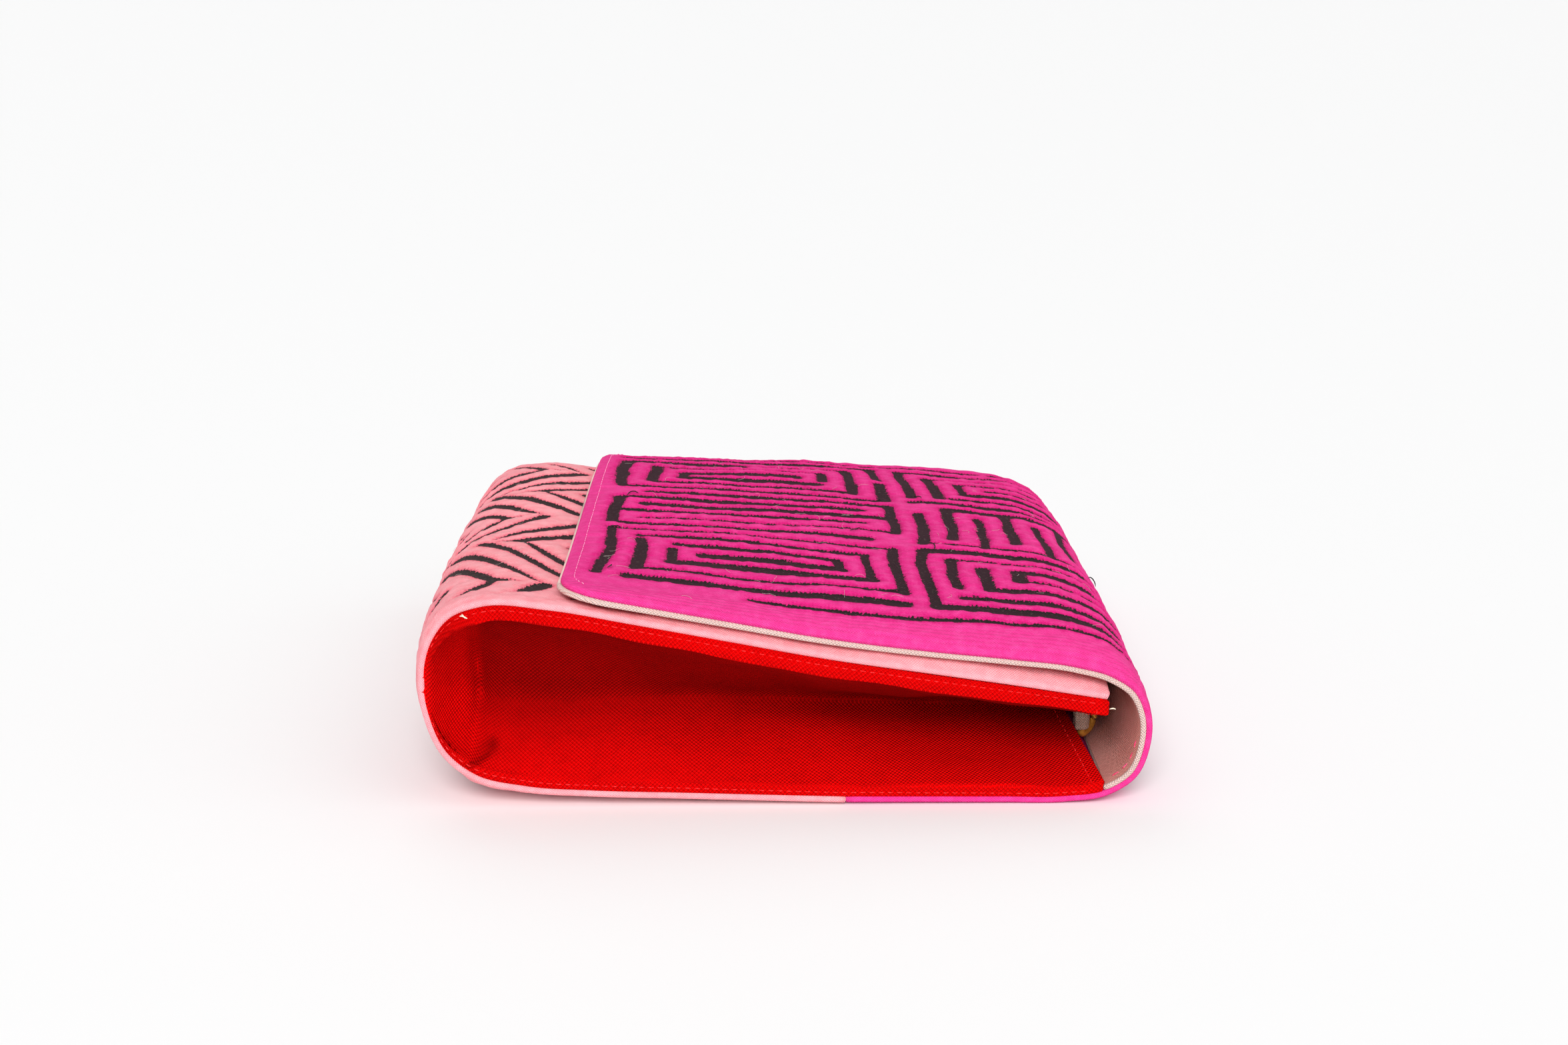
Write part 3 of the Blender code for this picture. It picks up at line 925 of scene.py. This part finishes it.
FINE = 0.62
SEAM_START = 0.3
FACING_SHOWS = 0.7
FACING_TUCK = 0.15
FACING_COLUMNS = 160
COLUMN_STEP = 0.65
CORNER_ROWS = 28


def other_way(*fields):
    """Grids with their columns in the other order, so that the sheet's face looks out."""
    return [field[:, ::-1] for field in fields]


def place_grid(along, across):
    """Each point's place on the flat cloth: along it and across it."""
    return np.stack([np.broadcast_to(along[:, None], across.shape), across], axis=2)


def front_panel_sheet():
    """The salmon panel from the seam under the bag to the mouth."""
    radius = PANEL_THICKNESS / 2.0
    stops = (SEAM_START, 60.0, 168.0, FRONT_LENGTH - radius)
    along = trimmed(spaced(stops, (1.0, FINE, 2.6)), BLOCK)
    across = trimmed(spaced((radius, BAG_WIDTH - radius), (COLUMN_STEP,)), BLOCK)
    depths = np.broadcast_to(across, (len(along), len(across)))
    grid = panel_grid(FRONT_PANEL, along / FRONT_LENGTH, depths)
    places = place_grid(along, depths)
    u, v = places[..., 0], places[..., 1]
    edge = np.minimum(np.minimum(v, BAG_WIDTH - v), np.minimum(u, FRONT_LENGTH - u)) - radius
    relief, cut = mola_relief(u, v, chevron_lines(), edge, 7, 1.6, 1.0)
    normal = panel_normals(FRONT_PANEL, along / FRONT_LENGTH, depths)
    return Sheet(grid, places, PANEL_THICKNESS, relief, cut, normal)


def flap_inset(from_end, radius, corner):
    """How far a rounded corner draws the flap's side in, by distance from its end."""
    inside = np.maximum(corner - from_end, 0.0)
    return radius + corner - np.sqrt(np.maximum(corner**2 - inside**2, 0.0))


def flap_rows(radius, first, steps):
    """Distances along the flap for its rows, closer together in the round corners."""
    corner = FLAP_CORNER_RADIUS - radius
    end = FLAP_LENGTH - radius
    straight = spaced((*first, end - corner), steps)
    turns = np.linspace(0.0, math.pi / 2, CORNER_ROWS + 1)[1:]
    rows = np.concatenate((straight, end - corner + corner * np.sin(turns)))
    return trimmed(rows, BLOCK), corner, end


def flap_grid(along, inset, columns):
    """Points, normals and flat places of a sheet that follows the flap."""
    share = np.linspace(0.0, 1.0, columns + 1)
    depths = inset[:, None] + (BAG_WIDTH - 2.0 * inset)[:, None] * share
    grid = panel_grid(BACK_FLAP, along / FLAP_LENGTH, depths)
    normal = -panel_normals(BACK_FLAP, along / FLAP_LENGTH, depths)
    return grid, normal, place_grid(FLAP_LENGTH - along, depths)


def flap_sheet():
    """The magenta panel from the seam, round the hinge and over the mouth."""
    radius = PANEL_THICKNESS / 2.0
    along, corner, end = flap_rows(radius + FACING_SHOWS, (SEAM_START, 44.0), (1.0, FINE))
    inset = flap_inset(end - along, radius + 0.3 * FACING_SHOWS, corner)
    columns = BLOCK * round(BAG_WIDTH / COLUMN_STEP / BLOCK)
    grid, normal, places = flap_grid(along, inset, columns)
    u, v = places[..., 0], places[..., 1]
    side = np.minimum(v, BAG_WIDTH - v) - inset[:, None]
    edge = np.minimum(side, np.minimum(u, FLAP_LENGTH - u) - radius)
    relief, cut = mola_relief(u, v, labyrinth_lines(), edge, 23, 1.0, 0.45)
    grid, places, relief, cut, normal = other_way(grid, places, relief, cut, normal)
    return Sheet(grid, places, PANEL_THICKNESS, relief, cut, normal)


def facing_sheet():
    """The canvas facing inside the flap."""
    radius = FACING_THICKNESS / 2.0
    shares = np.linspace(0.0, 1.0, LINE_SAMPLES)
    near = even_line([row[0:2] for row in BACK_FLAP], shares)
    start = FLAP_LENGTH * shares[int(np.argmax(near[:, 0] > FACING_START_X))] + radius
    along, corner, end = flap_rows(radius, (start, start + 60.0), (0.6, 1.3))
    inset = flap_inset(end - along, radius, corner)
    grid, normal, places = flap_grid(along, inset, FACING_COLUMNS)
    grid = grid - normal * (PANEL_THICKNESS - FACING_TUCK)
    grid, places, normal = other_way(grid, places, normal)
    return Sheet(grid, places, FACING_THICKNESS, normal=normal, back_cut=0.0)


# Gussets

GUSSET_ROWS = 240
GUSSET_COLUMNS = 132
GUSSET_ROW_POWER = 0.92
GUSSET_BOXY = 0.5
# Shares of the way to the mouth over which the fold's two halves lose their boxy shape
BOXY_HIGH = (0.12, 0.6)
BOXY_LOW = (0.09, 0.15)
GUSSET_SWELL = 0.22
GUSSET_SWELL_SIZE = 26.0
# Shares of the way to the mouth over which the painted shade under the band comes in
PAINTED_SHADE_START = (0.09, 0.135)
HEM_STEP = 0.5
# How many rows or columns from its edge a gusset's relief is full
GUSSET_RELIEF_FADE = 8.0
# Creases in a gusset's cloth: (x, z) to (x, z), depth, half width and the darkness of the shade painted
# along them
GUSSET_CREASES = (
    ((-64.4, 38.0), (-63.6, 12.0), 0.8, 1.3, 0.0),
    ((-68.8, 7.2), (-61.4, 11.2), 0.4, 0.8, 1.0),
    ((-62.8, 11.6), (-60.8, 12.4), 0.1, 1.7, 1.0),
    ((-61.0, 35.0), (-52.0, 29.0), 0.4, 2.0, 0.0),
    ((58.5, 13.5), (30.0, 18.5), 0.35, 2.4, 0.0),
)


def inner_line(table, depth, turn):
    """Inside line of a panel at one depth; turn is 1 clockwise, else -1."""
    shares = np.linspace(0.0, 1.0, LINE_SAMPLES)
    outer = panel_grid(table, shares, np.full((LINE_SAMPLES, 1), depth))[:, 0][:, [0, 2]]
    steps = np.gradient(outer, axis=0)
    inward = unit(np.stack([steps[:, 1], -steps[:, 0]], axis=1)) * turn
    return outer + inward * (PANEL_THICKNESS + RIM_GAP)


def gusset_arms(side):
    """Upper and lower rim lines of a gusset, from the fold to the mouth."""
    depth = 0.0 if side < 0 else BAG_WIDTH
    front = inner_line(FRONT_PANEL, depth, 1)
    fold = int(np.argmin(front[:, 0]))
    back = inner_line(BACK_FLAP, depth, -1)
    back = back[: int(np.argmax(back[:, 0] > GUSSET_END_X))]
    return front[fold:], np.concatenate((front[fold::-1], back))


def gusset_sheet(side):
    """A gusset: a band round its rim and a deep fold tucked inwards, with shade painted down in the fold.
    """
    radius = GUSSET_THICKNESS / 2.0
    upper, lower = gusset_arms(side)
    shares = np.linspace(0.0, 1.0, GUSSET_ROWS + 1) ** GUSSET_ROW_POWER
    knots, depths, heights = zip(*GUSSET)
    fold_depths = smooth(knots, depths, shares)
    fold_heights = smooth(knots, heights, shares)
    ends = []
    for arm in (upper, lower):
        lengths = line_lengths(arm)
        room = lengths[-1] - GUSSET_FOLD_GAP - 2.0 * radius
        ends.append(along_line(arm, lengths, GUSSET_FOLD_GAP + radius + shares * room))
    ways, parts = zip(*GUSSET_ACROSS)
    columns = np.linspace(0.0, 1.0, GUSSET_COLUMNS + 1)
    grid = []
    places = []
    hems = []
    painted_shade_rows = []
    for top, bottom, depth, height, share in zip(*ends, fold_depths, fold_heights, shares):
        tall = float(np.linalg.norm(bottom - top))
        margin = min(radius / tall, 0.2)
        upper_band = BAND_TOP / tall if tall > 3 * BAND_TOP else 0.3
        lower_band = BAND_BOTTOM / tall if tall > 3 * BAND_TOP else 0.3
        place = margin + columns * (1.0 - 2.0 * margin)
        fold = 1.0 - height
        above = (place - upper_band) / (fold - upper_band) * 0.5
        below = 0.5 + (place - fold) / (1.0 - lower_band - fold) * 0.5
        way = np.clip(np.where(place < fold, above, below), 0.0, 1.0)
        high = GUSSET_BOXY + (1.0 - GUSSET_BOXY) * float(ease(share, *BOXY_HIGH))
        low = GUSSET_BOXY + (1.0 - GUSSET_BOXY) * float(ease(share, *BOXY_LOW))
        boxy = np.where(place < fold, high, low)
        inward = np.maximum(smooth(ways, parts, way), 0.0) ** boxy * depth
        section = top + np.outer(place, bottom - top)
        y = side * (BAG_WIDTH / 2 - GUSSET_SIDE_INSET - inward)
        x = section[:, 0] - GUSSET_HEM_DRAW * (BAG_WIDTH / 2 - np.abs(y)) * share**2
        grid.append(np.stack([x, y, section[:, 1]], axis=1))
        past_hem = (place - upper_band) * tall
        hems.append((1.0 - ease(past_hem, -0.2, 0.35)) * ease(share, 0.02, 0.08))
        # Painted shade: darker from under the band down to the fold, fading out past it
        under = ease(past_hem, -0.1, 0.5) * (1.0 - ease(place, fold - 0.12, fold + 0.34))
        painted_shade_rows.append(under * ease(share, *PAINTED_SHADE_START))
        across = line_lengths(np.stack([inward, place * tall], axis=1))
        across = across - np.interp(fold, place, across)
        places.append(np.stack([section[:, 0], across], axis=1))
    grid = np.array(grid)
    places = np.array(places)
    centre = grid[:, GUSSET_COLUMNS // 2]
    drift = line_lengths(centre[:, :2]) - centre[:, 0]
    places[..., 0] = places[..., 0] + drift[:, None]
    relief = GUSSET_SWELL * ripple(places[..., 0], places[..., 1], GUSSET_SWELL_SIZE, 77 + side)
    relief = relief + HEM_STEP * np.array(hems)
    painted_shade = np.array(painted_shade_rows)
    for (x0, z0), (x1, z1), deep, wide, painted_darkness in GUSSET_CREASES:
        step = np.array([x1 - x0, z1 - z0])
        away = grid[..., [0, 2]] - (x0, z0)
        share = np.clip((away @ step) / (step @ step), 0.0, 1.0)
        gone = np.linalg.norm(away - share[..., None] * step, axis=2)
        fade = ease(share, 0.0, 0.25) * (1.0 - 0.5 * ease(share, 0.8, 1.0))
        relief = relief - deep * np.exp(-((gone / wide) ** 2)) * (0.4 + 0.6 * fade)
        # Painted shade along the crease, as dark as its last column gives
        painted_shade = np.maximum(painted_shade, painted_darkness * np.exp(-((gone / wide) ** 2)) * (0.5 + 0.5 * share))
    rows = np.arange(GUSSET_ROWS + 1)[:, None]
    middle = np.arange(GUSSET_COLUMNS + 1)[None, :]
    from_rows = np.minimum(rows, GUSSET_ROWS - rows)
    from_columns = np.minimum(middle, GUSSET_COLUMNS - middle)
    relief = relief * ease(np.minimum(from_rows, from_columns), 0.0, GUSSET_RELIEF_FADE)
    # The gusset's cut value carries the painted shade: the lower it is, the more of the red canvas's
    # darker second tint
    cut = INSIDE_TOP - (INSIDE_TOP - INSIDE_BOTTOM) * painted_shade
    if side < 0:
        grid, places, relief, cut = other_way(grid, places, relief, cut)
    return Sheet(grid, places, GUSSET_THICKNESS, relief, cut)


# Stitches

FLAP_STITCH_INSET = 3.4
# (pitch, length, thread radius) of each kind of stitch
FLAP_STITCH = (1.7, 0.95, 0.1)
GUSSET_STITCH = (1.9, 1.2, 0.11)
FACING_STITCH = (2.6, 1.7, 0.13)
FACING_STITCH_SHARE = 0.986
STITCH_ARCH = np.sin(np.linspace(0.0, math.pi, 6))


def sew(name, paths, radius, finish, slot, sides=6):
    """A named piece made of threads along the given paths."""
    mesh = tubes(name, paths, radius, sides=sides, taper=True)
    piece(name, mesh, finish, slot)


def threads(points, normals, starts, length, lift):
    """A short thread from each start along a line of points, lifted along the normals."""
    lengths = line_lengths(points)
    paths = []
    for start in starts:
        at = np.linspace(start, start + length, len(lift))
        out = unit(along_line(normals, lengths, at))
        paths.append(along_line(points, lengths, at) + out * lift[:, None])
    return paths


def stitch_line(surface, along, across, pitch, length, radius):
    """Stitches on a sheet, one each pitch along a line of row and column shares."""
    points, normals = surface.at(along, across)
    starts = np.arange(pitch / 2, line_lengths(points)[-1] - length, pitch)
    return threads(points, normals, starts, length, (1.5 * STITCH_ARCH - 0.35) * radius)


def make_panels():
    """The two mola panels and the flap's facing."""
    front = front_panel_sheet()
    flap = flap_sheet()
    facing = facing_sheet()
    made = piece("front_panel_mola", front.mesh("front_panel_mola"), SALMON, "front_panel", "front_panel")
    made = piece("back_flap_mola", flap.mesh("back_flap_mola"), MAGENTA, "back_flap", "back_flap")
    name = "flap_facing_canvas"
    made = piece(name, facing.mesh(name), CANVAS, "flap_facing", "flap_facing")
    return front, flap, facing


def make_gussets():
    """The two tucked-in sides."""
    surfaces = []
    for side, word in ((-1, "near"), (1, "far")):
        surface = gusset_sheet(side)
        surfaces.append(surface)
        name = f"gusset_{word}_cloth"
        made = piece(name, surface.mesh(name), RED, "gusset", f"gusset_{word}")
    return surfaces


def make_ring():
    """The ring: a straight bar and a flattened bow of round wire."""
    half = RING_HEIGHT / 2 - RING_WIRE_RADIUS
    reach = RING_REACH - 2 * RING_WIRE_RADIUS
    outline = [(0.0, up) for up in np.linspace(half * RING_BAR_SHARE, -half * RING_BAR_SHARE, 13)]
    for angle in np.linspace(-math.pi / 2, math.pi / 2, 49):
        outline.append((reach * max(math.cos(angle), 0.0) ** RING_BOW, half * math.sin(angle)))
    outline = np.array(outline)
    closed = np.vstack([outline, outline[:1]])
    lengths = line_lengths(closed)
    outline = along_line(closed, lengths, np.linspace(0.0, lengths[-1], RING_STEPS + 1)[:-1])
    for _ in range(2):
        outline = (np.roll(outline, 1, axis=0) + 2 * outline + np.roll(outline, -1, axis=0)) / 4
    bar_y = RING_DEPTH - BAG_WIDTH / 2
    path = [
        (RING_X + out * math.cos(RING_TURN), bar_y + out * math.sin(RING_TURN), RING_Z + up)
        for out, up in outline
    ]
    mesh = tubes("d_ring_brass", [path], RING_WIRE_RADIUS, sides=20, closed=True)
    piece("d_ring_brass", mesh, BRASS_METAL, "d_ring", "d_ring")


def make_tab():
    """The strip folded round the ring's bar."""
    bar_y = RING_DEPTH - BAG_WIDTH / 2
    radius = RING_WIRE_RADIUS + TAB_SLACK + TAB_THICKNESS
    half_turn = np.linspace(math.pi / 2, -math.pi / 2, 25)
    arm = np.linspace(TAB_START_X + TAB_END_GAP, RING_X - TAB_TURN_GAP, 4)
    line = [(x, bar_y + radius) for x in arm]
    line += [(RING_X + radius * math.cos(turn), bar_y + radius * math.sin(turn)) for turn in half_turn]
    line += [(x, bar_y - radius) for x in arm[::-1]]
    line = np.array(line)
    margin = TAB_THICKNESS / 2.0 / TAB_HEIGHT
    shares = np.linspace(0.5 - margin, margin - 0.5, 17)
    grid = np.array([[(x, y, TAB_Z + TAB_HEIGHT * share) for share in shares] for x, y in line])
    across = np.broadcast_to(shares * TAB_HEIGHT, grid.shape[:2])
    places = place_grid(line_lengths(line), across)
    surface = Sheet(grid, places, TAB_THICKNESS, 0.05 * ripple(places[..., 0], places[..., 1], 5.0, 5))
    piece("ring_tab_cloth", surface.mesh("ring_tab_cloth"), TAB_CLOTH, "ring_tab", "ring_tab")


def make_stitches(flap, gussets):
    """Lines of machine stitches on the flap and the gussets."""
    count = 400
    spread = np.linspace(0.0, 1.0, count)
    corner = FLAP_CORNER_RADIUS - FLAP_STITCH_INSET
    turn = np.linspace(0.7, math.pi / 2, 20)
    aside = FLAP_CORNER_RADIUS - corner * np.cos(turn)
    u = FLAP_CORNER_RADIUS - corner * np.sin(turn)
    u = np.concatenate((u, u[::-1]))
    v = np.concatenate((aside, BAG_WIDTH - aside[::-1]))
    passed = line_lengths(np.stack([u, v], axis=1))
    at = np.linspace(0.0, passed[-1], 500)
    spots = flap.locate(np.interp(at, passed, u), np.interp(at, passed, v))
    paths = stitch_line(flap, *spots, *FLAP_STITCH)
    sew("flap_stitches", paths, FLAP_STITCH[2], PALE_THREAD, "back_flap")
    paths = []
    for surface in gussets:
        for across in (0.02, 0.98):
            paths += stitch_line(surface, 0.02 + 0.97 * spread, np.full(count, across), *GUSSET_STITCH)
        paths += stitch_line(surface, np.full(count, 0.985), 0.06 + 0.88 * spread, *GUSSET_STITCH)
    sew("gusset_stitches", paths, GUSSET_STITCH[2], RED_THREAD, "gusset")


# (lattice column, lattice row, turn) of each thread's tail on the flap
TAILS = (
    (0.2, 1.2, 35.0), (0.4, 6.8, 120.0), (9.0, 2.2, 200.0), (10.2, 7.0, 60.0), (0.3, 12.0, 80.0),
    (8.8, 14.2, 300.0), (9.9, 14.8, 20.0), (16.0, 8.2, 150.0), (11.2, 2.1, 330.0), (8.0, 9.0, 250.0),
)
TAIL_LENGTH = 3.6
TAIL_RADIUS = 0.14
LINT_COUNT = 80
LINT_LENGTH = 2.4
LINT_RADIUS = 0.028
SNIP_RADIUS = 0.15


def loose_thread(surface, u, v, turn, length, bend, lift):
    """A curved loose thread lying on a sheet, from its flat place and turn."""
    share = np.linspace(0.0, 1.0, 9)
    angle = math.radians(turn) + bend * share
    step = length / (len(share) - 1)
    along = u + np.cumsum(np.cos(angle)) * step
    across = v + np.cumsum(np.sin(angle)) * step
    raised = lift + lift * np.sin(share * math.pi)[:, None]
    return surface.at(*surface.locate(along, across), raised)[0]


def make_loose_threads(front, flap):
    """Thread tails on the flap, and lint on both mola panels."""
    draw = np.random.default_rng(9)
    paths = []
    for column, row, turn in TAILS:
        u = column * PITCH_U + LATTICE_U
        v = row * PITCH_V + LATTICE_V
        bend = draw.uniform(-1.8, 1.8)
        paths.append(loose_thread(flap, u, v, turn, TAIL_LENGTH * draw.uniform(0.7, 1.2), bend, 0.3))
    sew("thread_tails", paths, TAIL_RADIUS, BLACK_THREAD, "back_flap", sides=5)
    for surface, name, limits in (
        (flap, "back_flap", (4.0, 120.0)), (front, "front_panel", (84.0, 140.0)),
    ):
        paths = []
        for _ in range(LINT_COUNT):
            u = draw.uniform(*limits)
            v = draw.uniform(4.0, BAG_WIDTH - 8.0)
            length = LINT_LENGTH * draw.uniform(0.5, 1.4)
            turn = draw.uniform(0.0, 360.0)
            paths.append(loose_thread(surface, u, v, turn, length, draw.uniform(-2.5, 2.5), 0.12))
        mesh = tubes(f"lint_{name}", paths, LINT_RADIUS, sides=3)
        piece(f"lint_{name}", mesh, LINT_THREAD, name)


# Bits of pale thread: points in table millimetres
SNIPS = (
    ((-66.0, -75.6, 41.2), (-65.3, -76.3, 41.4), (-64.5, -75.9, 40.9)),
    ((-65.5, -75.8, 41.7), (-64.9, -76.4, 41.2), (-64.2, -75.8, 40.7)),
    ((66.2, -74.4, 20.2), (66.8, -74.8, 20.5), (67.3, -74.6, 20.4), (67.6, -74.3, 20.1)),
)


def make_snips():
    """The bits of pale thread at the near gusset's corners."""
    paths = []
    for points in SNIPS:
        at = np.linspace(0.0, len(points) - 1.0, 9)
        paths.append(smooth(range(len(points)), points, at))
    sew("thread_snips", paths, SNIP_RADIUS, CREAM_THREAD, "gusset")


def make_facing_stitches(facing):
    """A few long stitches inside the hinge, near the facing's near edge."""
    spread = np.linspace(0.01, 0.13, 200)
    points, normals = facing.at(spread, np.full(200, FACING_STITCH_SHARE), -FACING_THICKNESS)
    pitch, length, radius = FACING_STITCH
    starts = np.arange(1.0, line_lengths(points)[-1] - 2.0, pitch)
    paths = threads(points, normals, starts, length, -0.1 * STITCH_ARCH)
    sew("facing_stitches", paths, radius, MAGENTA_THREAD, "flap_facing")


# Stage, light and camera

FLOOR_HALF = 60.0
FLOOR_COLOUR = (0.93, 0.93, 0.93, 1.0)


def make_floor():
    """A wide white floor."""
    mesh = bpy.data.meshes.new("floor")
    half = FLOOR_HALF
    mesh.from_pydata(
        [(-half, -half, 0.0), (half, -half, 0.0), (half, half, 0.0), (-half, half, 0.0)],
        [], [(0, 1, 2, 3)],
    )
    floor = bpy.data.objects.new("floor", mesh)
    made, _, shader = start_material("floor_paper")
    shader.inputs["Base Color"].default_value = FLOOR_COLOUR
    shader.inputs["Roughness"].default_value = 0.7
    shader.inputs["Specular IOR Level"].default_value = 0.2
    mesh.materials.append(made)
    bpy.context.scene.collection.objects.link(floor)


# The sky's strength at the horizon, and from there up, by the height of the direction
HORIZON_STRENGTH = 0.65
HORIZON_FADE = (0.05, 0.2)
SKY_RISE = (0.0, 0.85)
SKY_STRENGTHS = (0.2, 0.36)

# (name, energy, spread, lean from straight above, turn from the near side), in degrees
LAMPS = (
    ("front_light", 2.6, 32.0, 55.0, -6.0),
    ("right_light", 0.85, 80.0, 44.0, 68.0),
    ("back_light", 0.3, 40.0, 40.0, 200.0),
)


def make_light():
    """A pale sky and the soft lamps."""
    world = bpy.data.worlds.new("studio")
    bpy.context.scene.world = world
    world.use_nodes = True
    tree = world.node_tree
    direction = add(tree, "TexCoord").outputs["Generated"]
    height = add(tree, "SeparateXYZ", {0: direction}).outputs[2]
    background = tree.nodes["Background"]
    background.inputs["Color"].default_value = (1.0, 1.0, 1.0, 1.0)
    low = ranged(tree, height, *HORIZON_FADE, HORIZON_STRENGTH, 0.0)
    high = ranged(tree, height, *SKY_RISE, *SKY_STRENGTHS)
    tree.links.new(sums(tree, "ADD", low, high), background.inputs["Strength"])
    for name, energy, spread, lean, turn in LAMPS:
        lamp = bpy.data.lights.new(name, "SUN")
        lamp.energy = energy
        lamp.angle = math.radians(spread)
        made = bpy.data.objects.new(name, lamp)
        made.rotation_euler = (math.radians(lean), 0.0, math.radians(turn))
        bpy.context.scene.collection.objects.link(made)


CAMERA_PLACE = (-0.0065, -0.4972, 0.16806)
CAMERA_DOWN = math.radians(14.322)
CAMERA_TURN = math.radians(-0.982)
LENS = 50.0
SENSOR_WIDTH = 36.0
CLIP_START = 0.01


def make_camera():
    """The camera, on the bag's near side and a little above it."""
    data = bpy.data.cameras.new("camera")
    data.lens = LENS
    data.sensor_width = SENSOR_WIDTH
    data.clip_start = CLIP_START
    camera = bpy.data.objects.new("camera", data)
    camera.location = CAMERA_PLACE
    camera.rotation_euler = (math.pi / 2 - CAMERA_DOWN, 0.0, CAMERA_TURN)
    bpy.context.scene.collection.objects.link(camera)
    bpy.context.scene.camera = camera
    bpy.context.scene.view_settings.view_transform = "Standard"


def make_scene():
    """Everything in its order."""
    make_floor()
    gussets = make_gussets()
    front, flap, facing = make_panels()
    make_ring()
    make_tab()
    make_stitches(flap, gussets)
    make_facing_stitches(facing)
    make_snips()
    make_loose_threads(front, flap)
    make_light()
    make_camera()


make_scene()
